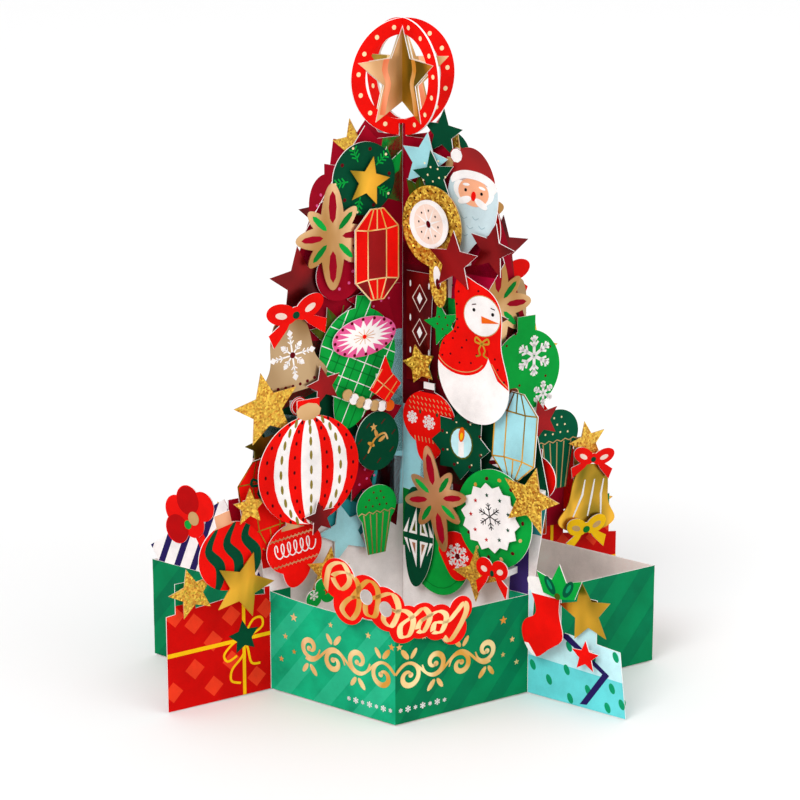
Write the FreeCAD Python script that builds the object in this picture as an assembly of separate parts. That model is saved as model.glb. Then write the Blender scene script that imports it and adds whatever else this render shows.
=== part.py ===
import FreeCAD, Part
import math
import os

# A pop up card: a low diamond-shaped box of folded card, with a tree of two slotted sheets standing in it.
# Every sheet and ornament is flat die-cut card, printed on its outer faces.
# Lengths are in millimetres, angles in degrees. The origin is on the ground below the middle of the tree,
# z is up, and the box's front corner points along -y.

# Card stock and what holds it together
CARD = 0.4
PAD_THICKNESS = 1.1
PAD_SIDE = 2.4
SIDE_GAP = 0.25
SLOT_GAP = 0.05
# How finely the places for a pad are tried, across and up each piece
PAD_TRIALS = 16

# Box: four folded walls on a diamond
WALL_SIDE = 114.0
WALL_HEIGHT = 37.0
HALF_ANGLE = 36.0
TAB_LENGTH = 8.0
WALL_DIP = 1.4

# Silhouettes of the left and the right sheet, as half widths and the heights where they lie
LEFT_PROFILE = (
    (60.0, 46.0),
    (65.0, 76.0),
    (62.0, 100.0),
    (50.0, 135.0),
    (46.0, 152.0),
    (41.0, 166.0),
    (26.0, 188.0),
    (16.0, 201.0),
)
RIGHT_PROFILE = (
    (60.0, 46.0),
    (65.0, 76.0),
    (60.0, 96.0),
    (39.0, 112.0),
    (35.0, 140.0),
    (45.0, 156.0),
    (41.0, 166.0),
    (26.0, 188.0),
    (16.0, 201.0),
)
NECK_WIDTH = 22.0
PEAK_WIDTH = 3.0
PEAK_TOP = 200.5

# Gift-shaped flaps that the sheets end in, outside the box: heights at the box, the ridge and the corner
FLAP_LENGTH = 42.5
FRONT_GIFT = (36.0, 38.0, 35.5)
REAR_GIFT = (37.0, 35.0, 31.0)
SIDE_GIFT = (14.0, 26.0, 24.0)
GIFT_RIDGE = 16.0
GIFT_SLANT = 3.0
TONGUE_WIDTH = 8.0
NEAR_TONGUE_SHARE = 0.3
NEAR_TONGUE_HEIGHT = 74.0
FAR_TONGUE_SHARE = 0.6
FAR_TONGUE_HEIGHT = 72.0
END_TONGUE_SHARE = 0.82
END_TONGUE_HEIGHT = 47.0
SOCK_TONGUE_SHARE = 0.24
SOCK_TONGUE_HEIGHT = 40.0
STAR_TONGUE_SHARE = 0.6
STAR_TONGUE_HEIGHT = 41.0

# Topper: four folded ring discs, back to back, each with a folded star
TOPPER_RADIUS = 20.6
TOPPER_WINDOW = 15.0
TOPPER_STAR = 19.0
TOPPER_STAR_WAIST = 0.44
TOPPER_CENTRE = 217.0
TOPPER_HALF_ANGLE = 40.5
TOPPER_TURN = -10.0

# Scroll plaque in front of the box's front corner
PLAQUE_STANDOFF = 2.4
PLAQUE_BAND = 5.2
PLAQUE_HEIGHT = 41.0
LEAST_WINDOW = 2.5
# How far along the wall from its corner, how far above the plaque's middle, and each loop's radius
PLAQUE_LOOPS = (
    (-25.0, 8.5, 7.5),
    (-20.5, -0.5, 6.8),
    (-12.5, 4.5, 8.0),
    (-4.0, 2.0, 8.0),
    (4.0, -3.5, 6.8),
    (11.0, -3.5, 6.5),
    (18.0, -5.5, 6.5),
    (24.5, -9.5, 5.5),
    (27.5, -2.5, 4.8),
)
PADDED_LOOPS = (1, 4, 7)

# Gift that stands inside the left wall
CORNER_GIFT_WIDTH = 44.0
CORNER_GIFT_HEIGHT = 34.0
CORNER_GIFT_TILT = 34.0
CORNER_GIFT_OUT = 26.5
CORNER_GIFT_UP = 40.6
PETAL_RADIUS = 5.6
PETAL_REACH = 8.6
PETAL_SPREAD = 149.0
PETAL_LEAN = 6.5
PETAL_COUNT = 4
PETAL_BOW_OUT = 3.0
PETAL_BOW_DROP = 1.5

# Sizes that follow from those above
MIDDLE = WALL_SIDE / 2
FLAP_END = MIDDLE + FLAP_LENGTH
COSINE = math.cos(math.radians(HALF_ANGLE))
SINE = math.sin(math.radians(HALF_ANGLE))
STEP = CARD + PAD_THICKNESS
# From a pad's middle to its corner, with a little to spare
PAD_REACH = PAD_SIDE * 0.72

ORIGIN = FreeCAD.Vector(0, 0, 0)
X_AXIS = FreeCAD.Vector(1, 0, 0)
Z_AXIS = FreeCAD.Vector(0, 0, 1)

# The faces that are dressed, by the sheet's heading, the end of the sheet and how fast the fold closes
# on pieces that stand off the sheet.
LEFT_FRONT = (HALF_ANGLE, -1, SINE / COSINE)
RIGHT_FRONT = (-HALF_ANGLE, 1, SINE / COSINE)
RIGHT_REAR = (HALF_ANGLE, 1, COSINE / SINE)
LEFT_REAR = (-HALF_ANGLE, -1, COSINE / SINE)

nodes = {}
hung = {face: [] for face in (LEFT_FRONT, RIGHT_FRONT, RIGHT_REAR, LEFT_REAR)}


# Flat outlines, drawn about their own centre with y up

def point(x, y, z=0.0):
    return FreeCAD.Vector(x, y, z)


def leftward(corners):
    """The corners as points, in the order that keeps the inside on the left, so that shapes can be joined."""
    following = corners[1:] + corners[:1]
    area = sum(x * next_y - next_x * y for (x, y), (next_x, next_y) in zip(corners, following))
    return [point(x, y) for x, y in (corners if area > 0 else corners[::-1])]


def polygon(corners):
    ring = leftward(corners)
    return Part.Face(Part.makePolygon(ring + ring[:1]))


def rounded(corners):
    """A closed smooth outline through a few points."""
    curve = Part.BSplineCurve()
    curve.interpolate(leftward(corners), PeriodicFlag=True)
    return Part.Face(Part.Wire([curve.toShape()]))


def disc(radius, x=0.0, y=0.0):
    return Part.Face(Part.Wire([Part.makeCircle(radius, point(x, y))]))


def ring(radius, window, x=0.0, y=0.0):
    return disc(radius, x, y).cut(disc(window, x, y)).Faces[0]


def oval(half_width, half_height, x=0.0, y=0.0, turn=0.0):
    upright = half_height > half_width
    long_half, short_half = max(half_width, half_height), min(half_width, half_height)
    if long_half - short_half < CARD / 10:
        return disc(long_half, x, y)
    curve = Part.Ellipse(ORIGIN, long_half, short_half)
    face = Part.Face(Part.Wire([curve.toShape()]))
    face.rotate(ORIGIN, Z_AXIS, turn + (90 if upright else 0))
    face.translate(point(x, y))
    return face


def star(radius, tips=5, waist=0.45, turn=0.0):
    corners = []
    for index in range(2 * tips):
        angle = math.radians(90 + turn + 180 * index / tips)
        reach = radius if index % 2 == 0 else radius * waist
        corners.append((reach * math.cos(angle), reach * math.sin(angle)))
    return polygon(corners)


def joined(*faces):
    return faces[0].fuse(list(faces[1:])).removeSplitter().Faces[0]


def bauble(half_width, half_height, cap=0.26):
    """A hanging ball with a square cap."""
    cap_half = half_width * cap
    top = half_height + cap_half * 1.3
    neck = polygon([(-cap_half, 0), (cap_half, 0), (cap_half, top), (-cap_half, top)])
    return joined(oval(half_width, half_height), neck)


def lantern(width, height):
    """A faceted glass drop: straight sides between two cut ends."""
    side, tip = width / 2, width * 0.15
    end, shoulder = height / 2, height * 0.29
    right = [(tip, end), (side, shoulder), (side, -shoulder), (tip, -end)]
    return polygon(right + [(-x, y) for x, y in reversed(right)])


def flower(length, width, petal=0.24):
    """Eight petals, as four ovals that cross."""
    upright = oval(width / 2 * petal * 1.4, length / 2)
    level = oval(width / 2, length / 2 * petal)
    slanted = [oval(width * 0.46, width * 0.12, turn=turn) for turn in (45, 135)]
    return joined(upright, level, *slanted)


def bell(width, height):
    """A domed top that flares to a rounded skirt."""
    half, top = width / 2, height / 2
    return rounded([
        (0, top),
        (half * 0.46, top * 0.86),
        (half * 0.64, top * 0.34),
        (half * 0.78, -top * 0.3),
        (half, -top * 0.74),
        (half * 0.84, -top * 0.9),
        (0, -top),
        (-half * 0.84, -top * 0.9),
        (-half, -top * 0.74),
        (-half * 0.78, -top * 0.3),
        (-half * 0.64, top * 0.34),
        (-half * 0.46, top * 0.86),
    ])


def bow(width, height):
    """Two loops and two tails."""
    loops = [
        oval(width * 0.26, height * 0.24, side * width * 0.24, height * 0.2, side * 20)
        for side in (1, -1)
    ]
    tails = [
        polygon([
            (0, height * 0.22),
            (side * width * 0.26, 0),
            (side * width * 0.5, -height * 0.18),
            (side * width * 0.44, -height * 0.5),
            (side * width * 0.18, -height * 0.16),
        ])
        for side in (1, -1)
    ]
    knot = disc(height * 0.15, 0, height * 0.14)
    return joined(knot, *loops, *tails)


def cone(width, height):
    """A scoop on a ribbed cup."""
    half = width / 2
    cup = polygon([
        (-half * 0.8, height * 0.1),
        (half * 0.8, height * 0.1),
        (half * 0.45, -height / 2),
        (-half * 0.45, -height / 2),
    ])
    return joined(cup, oval(half, height * 0.3, 0, height * 0.2))


def leaf(length, width, turn):
    """A pointed leaf that grows from the centre."""
    blade = polygon([(0, 0), (width / 2, length * 0.45), (0, length), (-width / 2, length * 0.45)])
    blade.rotate(ORIGIN, Z_AXIS, turn)
    return blade


def shifted(face, x, y):
    moved = face.copy()
    moved.translate(point(x, y))
    return moved


# Standing flat pieces up and adding them to the object

def plate(face, lift):
    """Card cut to a flat outline, with its back at the given distance in front of its sheet."""
    flat = face.copy()
    flat.translate(point(0, 0, lift))
    return flat.extrude(point(0, 0, CARD))


def stand(flat, heading):
    """Turns a flat piece upright, so that its x runs along the heading and its face looks to the front."""
    flat.rotate(ORIGIN, X_AXIS, 90)
    flat.rotate(ORIGIN, Z_AXIS, heading)
    return flat


def add(node, solid):
    nodes.setdefault(node, []).append(solid)


def turned(solid, angle=180.0):
    copy = solid.copy()
    copy.rotate(ORIGIN, Z_AXIS, angle)
    return copy


def edge_distance(face, x, y):
    """How far a point lies from a face's rim: positive inside the face, negative outside it."""
    spot = Part.Vertex(x, y, 0)
    distance = min(wire.distToShape(spot)[0] for wire in face.Wires)
    return distance if face.isInside(point(x, y), SLOT_GAP, True) else -distance


def boxes_meet(first, second):
    one, other = first.BoundBox, second.BoundBox
    across = one.XMin < other.XMax + SIDE_GAP and other.XMin < one.XMax + SIDE_GAP
    along = one.YMin < other.YMax + SIDE_GAP and other.YMin < one.YMax + SIDE_GAP
    return across and along


def layer_lift(layer):
    """How far the back of a layer lies in front of the middle of its sheet."""
    return CARD / 2 + layer * STEP - CARD


def hang(face, twins, node, outline, layer, out, up, tilt):
    """Places a piece in front of its sheet, moved out far enough to clear the tree's inner fold."""
    _, side, closing = face
    shape = outline.copy()
    shape.rotate(ORIGIN, Z_AXIS, tilt)
    shape.translate(point(side * out, up))
    least = (layer_lift(layer) + CARD) * closing + SIDE_GAP
    inner = shape.BoundBox.XMin if side > 0 else -shape.BoundBox.XMax
    if inner < least:
        shape.translate(point(side * (least - inner), 0))
    hung[face].append((node, shape, layer, twins))


def pad_spot(shape, below, sheet):
    """The middlemost place for one foam pad inside the piece, wholly on or off each piece under it.

    Where no place has room for the whole pad, it is the roomiest one.
    """
    box = shape.BoundBox
    spots = []
    for across in range(1, PAD_TRIALS):
        for along in range(1, PAD_TRIALS):
            x = box.XMin + box.XLength * across / PAD_TRIALS
            y = box.YMin + box.YLength * along / PAD_TRIALS
            spots.append((math.hypot(x - box.Center.x, y - box.Center.y), x, y))
    best = None
    for _, x, y in sorted(spots):
        room = edge_distance(shape, x, y)
        if room < PAD_REACH and best:
            continue
        depths = [(edge_distance(other, x, y), under) for other, under in below]
        carriers = [under for distance, under in depths if distance > 0]
        if not carriers:
            room = min(room, edge_distance(sheet, x, y))
        room = min([room] + [abs(distance) for distance, _ in depths])
        if best is None or room > best[0]:
            best = (room, x, y, max(carriers, default=0))
        if room >= PAD_REACH:
            break
    return best[1:]


# The two slotted sheets

def gift_flap(heights, slant=0.0):
    """The outline of a sheet's end outside the box, as points from the box outwards and up."""
    at_box, at_ridge, at_corner = heights
    return [
        (MIDDLE - CARD, 0),
        (FLAP_END, 0),
        (FLAP_END - slant, at_corner),
        (MIDDLE + GIFT_RIDGE, at_ridge),
        (MIDDLE - CARD, at_box),
    ]


def flap(share):
    """A place along a flap, as a share of its length."""
    return MIDDLE + FLAP_LENGTH * share


def tongue(share, height):
    """A narrow stretch of a flap that rises behind the pieces glued to it."""
    out = flap(share)
    half = TONGUE_WIDTH / 2
    return [(out - half, 0), (out + half, 0), (out + half, height), (out - half, height)]


def tree_outline(profile, left_end, right_end):
    """The whole sheet, from the end of one flap to the end of the other."""
    peak, neck = PEAK_WIDTH / 2, TOPPER_CENTRE - TOPPER_RADIUS - CARD
    side = [(MIDDLE, 0), *profile, (NECK_WIDTH / 2, neck), (peak, neck), (peak, PEAK_TOP)]
    silhouette = polygon(side + [(-x, y) for x, y in reversed(side)])
    left = [polygon([(-x, y) for x, y in corners]) for corners in left_end]
    return joined(silhouette, *left, *[polygon(corners) for corners in right_end])


near_tongue = tongue(NEAR_TONGUE_SHARE, NEAR_TONGUE_HEIGHT)
far_tongue = tongue(FAR_TONGUE_SHARE, FAR_TONGUE_HEIGHT)
end_tongue = tongue(END_TONGUE_SHARE, END_TONGUE_HEIGHT)
side_flap = gift_flap(SIDE_GIFT, GIFT_SLANT)
LEFT_SHEET = tree_outline(
    LEFT_PROFILE,
    [gift_flap(FRONT_GIFT), near_tongue, end_tongue],
    [gift_flap(REAR_GIFT), near_tongue, far_tongue, end_tongue],
)
sock_tongue = tongue(SOCK_TONGUE_SHARE, SOCK_TONGUE_HEIGHT)
star_tongue = tongue(STAR_TONGUE_SHARE, STAR_TONGUE_HEIGHT)
RIGHT_SHEET = tree_outline(
    RIGHT_PROFILE,
    [side_flap, sock_tongue, star_tongue],
    [side_flap, sock_tongue, star_tongue],
)


def slotted(face, from_top):
    """A standing sheet with a slot for its twin, cut from the top or from the bottom to half height."""
    half = PEAK_TOP / 2
    crossing = math.radians(2 * HALF_ANGLE)
    width = CARD / math.sin(crossing) + CARD / math.tan(crossing) + 2 * SLOT_GAP
    low = half - SLOT_GAP if from_top else -CARD
    high = PEAK_TOP + CARD if from_top else half + SLOT_GAP
    slot = Part.makeBox(width, high - low, 2 * CARD, point(-width / 2, low, -CARD))
    return plate(face, -CARD / 2).cut(slot)


add("tree_sheet_left", stand(slotted(LEFT_SHEET, from_top=True), HALF_ANGLE))
add("tree_sheet_right", stand(slotted(RIGHT_SHEET, from_top=False), -HALF_ANGLE))


# The box's four walls

def band(path, width):
    """A strip of even width along straight runs, with mitred folds, seen from above."""
    sides = ([], [])
    for index, spot in enumerate(path):
        before = (spot - path[index - 1]).normalize() if index else None
        after = (path[index + 1] - spot).normalize() if index + 1 < len(path) else None
        into = before or after
        onward = after or before
        normal_in = point(-into.y, into.x)
        normal_out = point(-onward.y, onward.x)
        middle = normal_in + normal_out
        middle.multiply(width / middle.dot(normal_in) / 2)
        sides[0].append(spot + middle)
        sides[1].append(spot - middle)
    ring = sides[0] + sides[1][::-1]
    return Part.Face(Part.makePolygon(ring + ring[:1]))


def folded_wall(corner, middles):
    """A wall folded at a corner, its ends folded inward as tabs against the sheets at both mid-sides."""
    ends = []
    for middle in middles:
        inward = (ORIGIN - middle).normalize()
        onward = (corner - middle).normalize()
        facing = (onward - inward * onward.dot(inward)).normalize()
        fold = middle + onward * (CARD / onward.dot(facing))
        ends.append((fold + inward * TAB_LENGTH, fold))
    (first_tab, first_fold), (last_tab, last_fold) = ends
    strip = band([first_tab, first_fold, corner, last_fold, last_tab], CARD)
    return strip.extrude(point(0, 0, WALL_HEIGHT))


def dip():
    """The shallow hollow in the top edge of the front wall's left half, measured from the mid-side."""
    start, low, end = [point(x, y) for x, y in ((0, 0), (MIDDLE / 2, -WALL_DIP), (MIDDLE, 0))]
    hollow = Part.Wire([Part.Arc(start, low, end).toShape(), Part.makeLine(end, start)])
    cutter = Part.Face(hollow).extrude(point(0, 0, 2 * CARD))
    cutter.translate(point(0, WALL_HEIGHT, -CARD))
    return stand(cutter, -HALF_ANGLE)


FRONT = point(0, -WALL_SIDE * SINE)
RIGHT = point(WALL_SIDE * COSINE, 0)
FRONT_LEFT = point(-MIDDLE * COSINE, -MIDDLE * SINE)
FRONT_RIGHT = point(MIDDLE * COSINE, -MIDDLE * SINE)
hollow_edge = dip()
hollow_edge.translate(FRONT_LEFT)
add("front_wall", folded_wall(FRONT, [FRONT_LEFT, FRONT_RIGHT]).cut(hollow_edge))
add("right_wall", folded_wall(RIGHT, [FRONT_RIGHT, -FRONT_LEFT]))
add("back_wall", folded_wall(-FRONT, [-FRONT_LEFT, -FRONT_RIGHT]))
add("left_wall", folded_wall(-RIGHT, [-FRONT_RIGHT, FRONT_LEFT]))


# Folded sheets: the topper's discs and stars, and the plaque

def folded(face, angle, lift):
    """Bends a flat sheet about its upright centre line: arms that swing to the front for a positive angle."""
    box = face.BoundBox
    reach = box.DiagonalLength
    halves = []
    for side in (-1, 1):
        edge = CARD * side
        keep_from = min(-edge, -edge + 2 * reach * side)
        keep = Part.makePlane(2 * reach, 2 * reach, point(keep_from, box.YMin - reach))
        half = stand(plate(face.common(keep), lift), -angle * side)
        room = Part.makeBox(2 * reach, 4 * reach, 4 * reach)
        room.translate(point(0 if side > 0 else -2 * reach, -2 * reach, box.YMin - reach))
        halves.append(half.common(room))
    return halves[0].fuse(halves[1]).removeSplitter()


peak_room = Part.makeCylinder(PEAK_WIDTH / 2 + CARD, PEAK_TOP - TOPPER_CENTRE + TOPPER_RADIUS + CARD)
peak_room.translate(point(0, 0, -TOPPER_RADIUS - CARD))
TOPPER_LAYERS = (
    ("topper_discs", ring(TOPPER_RADIUS, TOPPER_WINDOW), 0.0),
    ("topper_stars", star(TOPPER_STAR, waist=TOPPER_STAR_WAIST), CARD),
)
for quarter in range(4):
    opening = TOPPER_HALF_ANGLE if quarter % 2 == 0 else 90 - TOPPER_HALF_ANGLE
    for node, face, lift in TOPPER_LAYERS:
        sheet = folded(face, opening, lift).cut(peak_room)
        sheet.translate(point(0, 0, TOPPER_CENTRE))
        add(node, turned(sheet, TOPPER_TURN + 90 * quarter))

# The plaque is a run of scallops, large at its left end and small at its right. The larger ones have windows.
loops = [disc(radius, along, up) for along, up, radius in PLAQUE_LOOPS]
plaque_face = joined(*loops)
for along, up, radius in PLAQUE_LOOPS:
    if radius - PLAQUE_BAND > LEAST_WINDOW:
        plaque_face = plaque_face.cut(disc(radius - PLAQUE_BAND, along, up)).Faces[0]
plaque = folded(plaque_face, -HALF_ANGLE, -CARD / 2)
plaque.translate(FRONT + point(0, -PLAQUE_STANDOFF / COSINE, PLAQUE_HEIGHT))
add("scroll_plaque", plaque)

# The gift inside the left wall, glued to the wall's inner face, with a petal bow on its top edge
half_gift, gift_top = CORNER_GIFT_WIDTH / 2, CORNER_GIFT_HEIGHT / 2
corner_gift = polygon([
    (-half_gift, gift_top),
    (half_gift, gift_top),
    (half_gift, -gift_top),
    (-half_gift, -gift_top),
])
petals = []
for index in range(PETAL_COUNT):
    share = index / (PETAL_COUNT - 1) - 0.5
    angle = math.radians(90 + PETAL_LEAN + PETAL_SPREAD * share)
    petals.append(disc(PETAL_RADIUS, PETAL_REACH * math.cos(angle), PETAL_REACH * math.sin(angle)))
petal_bow = joined(disc(PETAL_RADIUS), *petals)
for node, face, out, up, lift in (
    ("corner_gift", corner_gift, 0.0, 0.0, -1.5 * CARD),
    ("petal_bow", petal_bow, PETAL_BOW_OUT, gift_top - PETAL_BOW_DROP, -0.5 * CARD),
):
    shape = shifted(face, out, up)
    shape.rotate(ORIGIN, Z_AXIS, CORNER_GIFT_TILT)
    sheet = stand(plate(shifted(shape, CORNER_GIFT_OUT, CORNER_GIFT_UP), lift), -HALF_ANGLE)
    sheet.translate(-RIGHT)
    add(node, sheet)


# Ornament outlines that need more than one of the shapes above

def snowman():
    """A pointed hood, a cape that stands out to the right and a round body."""
    return rounded([
        (-5.2, 28.2),
        (1.5, 26.6),
        (8.0, 23.9),
        (12.2, 18.6),
        (12.9, 11.0),
        (12.8, 4.7),
        (16.2, -8.5),
        (15.2, -16.5),
        (9.5, -22.9),
        (-2.5, -23.2),
        (-10.8, -16.5),
        (-14.4, -7.5),
        (-14.0, -0.5),
        (-11.6, 5.0),
        (-7.6, 8.8),
        (-6.8, 15.0),
        (-7.4, 21.5),
    ])


def father_christmas():
    """A soft cap with its tassel, a face and a long beard."""
    cap = rounded([(-8, 6), (-9, 14), (-3, 18.5), (6, 14), (9, 7), (3, 8)])
    beard = rounded([
        (-9, 8),
        (0, 10),
        (9, 8),
        (11, -2),
        (9.5, -9),
        (3, -15),
        (-2, -21),
        (-7, -12),
        (-10, -3),
    ])
    return joined(cap, beard, disc(2.6, -8.5, 14.5))


def stocking():
    """A straight leg with its toe to the left."""
    return rounded([
        (-7, 14.5),
        (0, 15),
        (6, 14.5),
        (6.5, 4),
        (8, -6),
        (2, -11),
        (-3, -14.5),
        (-9, -8),
        (-5.5, 0),
    ])


def mitten():
    """A hand with its fingers up to the right."""
    return rounded([(-6, 7), (1, 9), (7.5, 3), (5, -7), (-1, -9), (-5, -5), (-8, 0)])


def candy_cane():
    """A half ring on a straight stem."""
    outer, inner, centre, foot = 6.6, 2.4, 2.6, -9.6
    hook = ring(outer, inner, 0, centre)
    top = centre + outer
    upper = polygon([(-outer, centre), (outer, centre), (outer, top), (-outer, top)])
    stem = polygon([(inner, centre + CARD), (outer, centre), (outer, foot), (inner, foot)])
    return joined(hook.common(upper).Faces[0], stem)


def kite(width, height):
    """Four points, with the side points low and the upper edges drawn in."""
    half, top = width / 2, height / 2
    return polygon([
        (0, top),
        (half * 0.4, top * 0.26),
        (half, -top * 0.27),
        (half * 0.16, -top),
        (-half, -top * 0.34),
        (-half * 0.46, top * 0.22),
    ])


def garland(length, sag, bead):
    """Beads that touch along a slack curve."""
    count = max(3, math.ceil(length / bead / 1.6))
    beads = []
    for index in range(count + 1):
        share = 2 * index / count - 1
        beads.append(disc(bead, share * length / 2, sag * (share * share - 0.5)))
    return joined(*beads)


def sprig(length, width, spread):
    """Three leaves in a fan."""
    return joined(*[leaf(length, width, turn) for turn in (-spread, 0, spread)])


def drop(half_width, half_height):
    """A lens that is widest just above its middle."""
    widest = half_height * 0.1
    return rounded([(0, half_height), (half_width, widest), (0, -half_height), (-half_width, widest)])


def finial(half_width, half_height, tail):
    """A round cartouche with a narrow drop below it."""
    hanging = oval(half_width * 0.28, tail, 0, -half_height - tail * 0.6)
    return joined(oval(half_width, half_height), hanging)


def onion(half_width, half_height):
    """A wide ball that narrows to a small foot."""
    foot = drop(half_width * 0.5, half_height * 0.62)
    return joined(bauble(half_width, half_height, 0.2), shifted(foot, 0, -half_height * 0.9))


# Pieces on each face of the tree, from the sheet outwards. Each row is a node's name, its outline, how far
# out from the middle fold and how high its centre lies, and how far it leans to the left.

LEFT_FRONT_PIECES = [
    ("crimson_stars", star(10.0), 1, 26.0, 176.0, 20),
    ("top_leaves", sprig(12.0, 5.5, 32), 1, 5.0, 181.0, 0),
        ("plain_baubles", bauble(9.5, 9.5), 2, 29.0, 150.0, 0),
    ("crimson_stars", star(12.0, waist=0.5), 1, 13.0, 138.0, 8),
    ("maroon_stars", star(13.0), 1, 44.0, 149.0, 6),
    ("holly_sprigs", sprig(12.0, 6.0, 50), 1, 29.0, 127.0, 20),
    ("wreath_disc", disc(13.0), 2, 18.5, 183.0, 0),
    ("foil_stars", star(9.0), 3, 17.5, 182.0, -14),
    ("gold_flowers", flower(38.0, 30.0), 3, 32.5, 164.0, 0),
    ("red_lantern", lantern(18.5, 33.0), 4, 15.0, 156.0, 0),
    ("plaid_bauble", onion(16.0, 17.5), 2, 21.5, 119.5, -8),
    ("starburst_oval", oval(13.4, 7.1), 3, 19.5, 126.4, 5),
    ("gold_bell", bell(26.0, 27.0), 3, 49.5, 124.0, 8),
    ("red_bows", bow(24.0, 16.0), 4, 48.5, 137.0, 8),
    ("glitter_stars", star(13.5), 4, 61.0, 106.5, 10),
    ("maroon_stars", star(7.4), 4, 37.4, 111.5, 12),
    ("crimson_stars", star(12.0, waist=0.6), 1, 12.0, 94.0, 0),
    ("bead_garlands", garland(19.0, 1.5, 2.1), 4, 19.0, 102.5, -20),
    ("argyle_diamond", kite(13.4, 17.6), 5, 12.6, 110.4, 0),
    ("crimson_lantern", lantern(21.0, 34.0), 2, 60.0, 71.0, 8),
    ("foil_stars", star(6.5), 1, 61.0, 92.0, 12),
    ("teal_stars", star(12.0), 1, 26.0, 54.0, 14),
    ("crimson_stars", star(9.0), 1, 19.5, 73.0, 10),
    ("round_bauble", oval(9.3, 11.0), 3, 14.2, 87.0, 0),
    ("striped_bauble", bauble(20.8, 20.0, 0.22), 5, 45.0, 82.0, 0),
    ("red_balls", disc(3.4), 3, 47.0, 105.0, 0),
    ("green_cone", cone(17.0, 26.0), 3, 14.5, 57.5, 0),
    ("curly_bauble", onion(11.5, 9.5), 3, 49.5, 53.0, 6),
    ("maroon_stars", star(6.6), 6, 41.4, 64.0, 8),
    ("glitter_stars", star(9.5), 4, 36.5, 42.0, -10),
    ("holly_balls", joined(disc(3.2, -3.4), disc(3.2, 2.6, 0.8), disc(2.8, 0, 4.2)), 5, 40.0, 33.5, 0),
    ("swirl_bauble", bauble(13.0, 12.5, 0.24), 3, flap(0.44), 55.0, 12),
    ("glitter_stars", star(7.0), 4, flap(0.27), 72.0, 0),
    ("foil_stars", star(12.5), 4, flap(0.34), 43.5, -20),
    ("glitter_stars", star(9.5), 2, flap(0.79), 43.5, 14),
]

RIGHT_FRONT_PIECES = [
    ("crimson_panels", polygon([(-8, -9), (9, -7), (7, 5), (-5, 5)]), 1, 26.0, 186.0, 0),
    ("pale_star", star(10.5, waist=0.5), 2, 9.0, 188.5, -8),
    ("dark_stars", star(9.5), 3, 17.5, 184.0, 10),
    ("maroon_stars", star(10.0), 3, 42.5, 161.0, -12),
    ("maroon_stars", star(11.0), 6, 29.5, 156.0, 0),
    ("holly_sprigs", sprig(9.0, 5.5, 42), 1, 9.0, 174.5, 0),
    ("gold_finial", finial(13.0, 14.5, 9.0), 4, 14.5, 166.5, 8),
    ("petal_ovals", oval(8.4, 8.6), 5, 17.5, 167.5, 20),
    ("nordic_panel", polygon([(-5, -20), (5, -20), (7, 20), (-5, 20)]), 1, 8.0, 128.0, 0),
    ("teal_stars", star(8.5), 2, 20.5, 131.0, 16),
    ("candy_canes", candy_cane(), 1, 46.0, 79.0, -14),
    ("crystal_lantern", lantern(18.5, 32.0), 3, 53.5, 96.0, -4),
    ("snowman", snowman(), 5, 36.5, 123.0, 0),
    ("glitter_stars", star(7.5, waist=0.55), 3, 10.0, 115.0, 16),
    ("nordic_bauble", onion(11.8, 10.5), 2, 14.5, 95.0, 0),
    ("candle_wreath", star(13.0, tips=8, waist=0.74), 3, 29.8, 88.5, 0),
    ("gold_flowers", flower(39.0, 28.0, 0.2), 6, 22.0, 68.0, 12),
    ("green_bauble", oval(15.0, 19.0), 2, 19.0, 48.5, 0),
    ("mitten", mitten(), 3, 28.6, 46.5, 0),
    ("harlequin_drop", drop(6.6, 18.5), 3, 11.0, 50.0, 0),
    ("snow_wreath", oval(16.5, 18.2), 4, 46.0, 64.5, 0),
    ("snow_patch", star(12.8, tips=14, waist=0.86), 5, 45.3, 65.0, 10),
    ("glitter_stars", star(12.5), 6, 63.5, 75.5, -12),
    ("slim_stars", star(10.2, tips=4, waist=0.4), 5, 39.3, 42.6, 0),
    ("red_bows", bow(14.0, 15.0), 6, 47.5, 44.0, 0),
    ("foil_stars", star(11.5), 1, flap(0.61), 36.0, 12),
    ("stocking", stocking(), 3, flap(0.235), 31.0, 0),
    ("crimson_stars", star(6.0), 2, flap(0.635), 20.5, 0),
    ("leaf_sprig", sprig(13.0, 7.0, 48), 4, flap(0.41), 40.5, 0),
]

RIGHT_REAR_PIECES = [
    ("crimson_stars", star(12.0), 1, 28.0, 100.0, 12),
    ("plain_baubles", bauble(10.0, 10.0), 1, 28.0, 166.0, 0),
    ("teal_stars", star(13.0), 1, 30.0, 70.0, 6),
]

# Pieces near the top of the front right arm that have no twin across the box
RIGHT_FRONT_ONCE = [
    ("dark_stars", star(9.0), 1, 19.0, 199.0, -4),
    ("father_christmas", father_christmas(), 2, 33.0, 177.0, -6),
]

# Pieces on the back right arm and its flap that have no twin across the box
RIGHT_REAR_ONCE = [
    ("gold_flowers", flower(38.0, 30.0), 1, 41.0, 129.0, 0),
    ("snowflake_bauble", bauble(15.5, 15.5), 2, 53.0, 103.0, 0),
    ("green_cone", cone(20.0, 31.0), 1, 69.0, 69.5, 0),
    ("maroon_stars", star(8.5), 3, 59.5, 83.0, 14),
    ("glitter_stars", star(9.0), 2, flap(0.6), 70.0, 10),
    ("white_bell", bell(27.0, 26.0), 3, flap(0.6), 49.0, -6),
    ("red_bows", bow(20.0, 12.5), 4, flap(0.61), 63.0, -10),
    ("yellow_bow", bow(19.0, 14.0), 4, flap(0.55), 35.5, 0),
]

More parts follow.
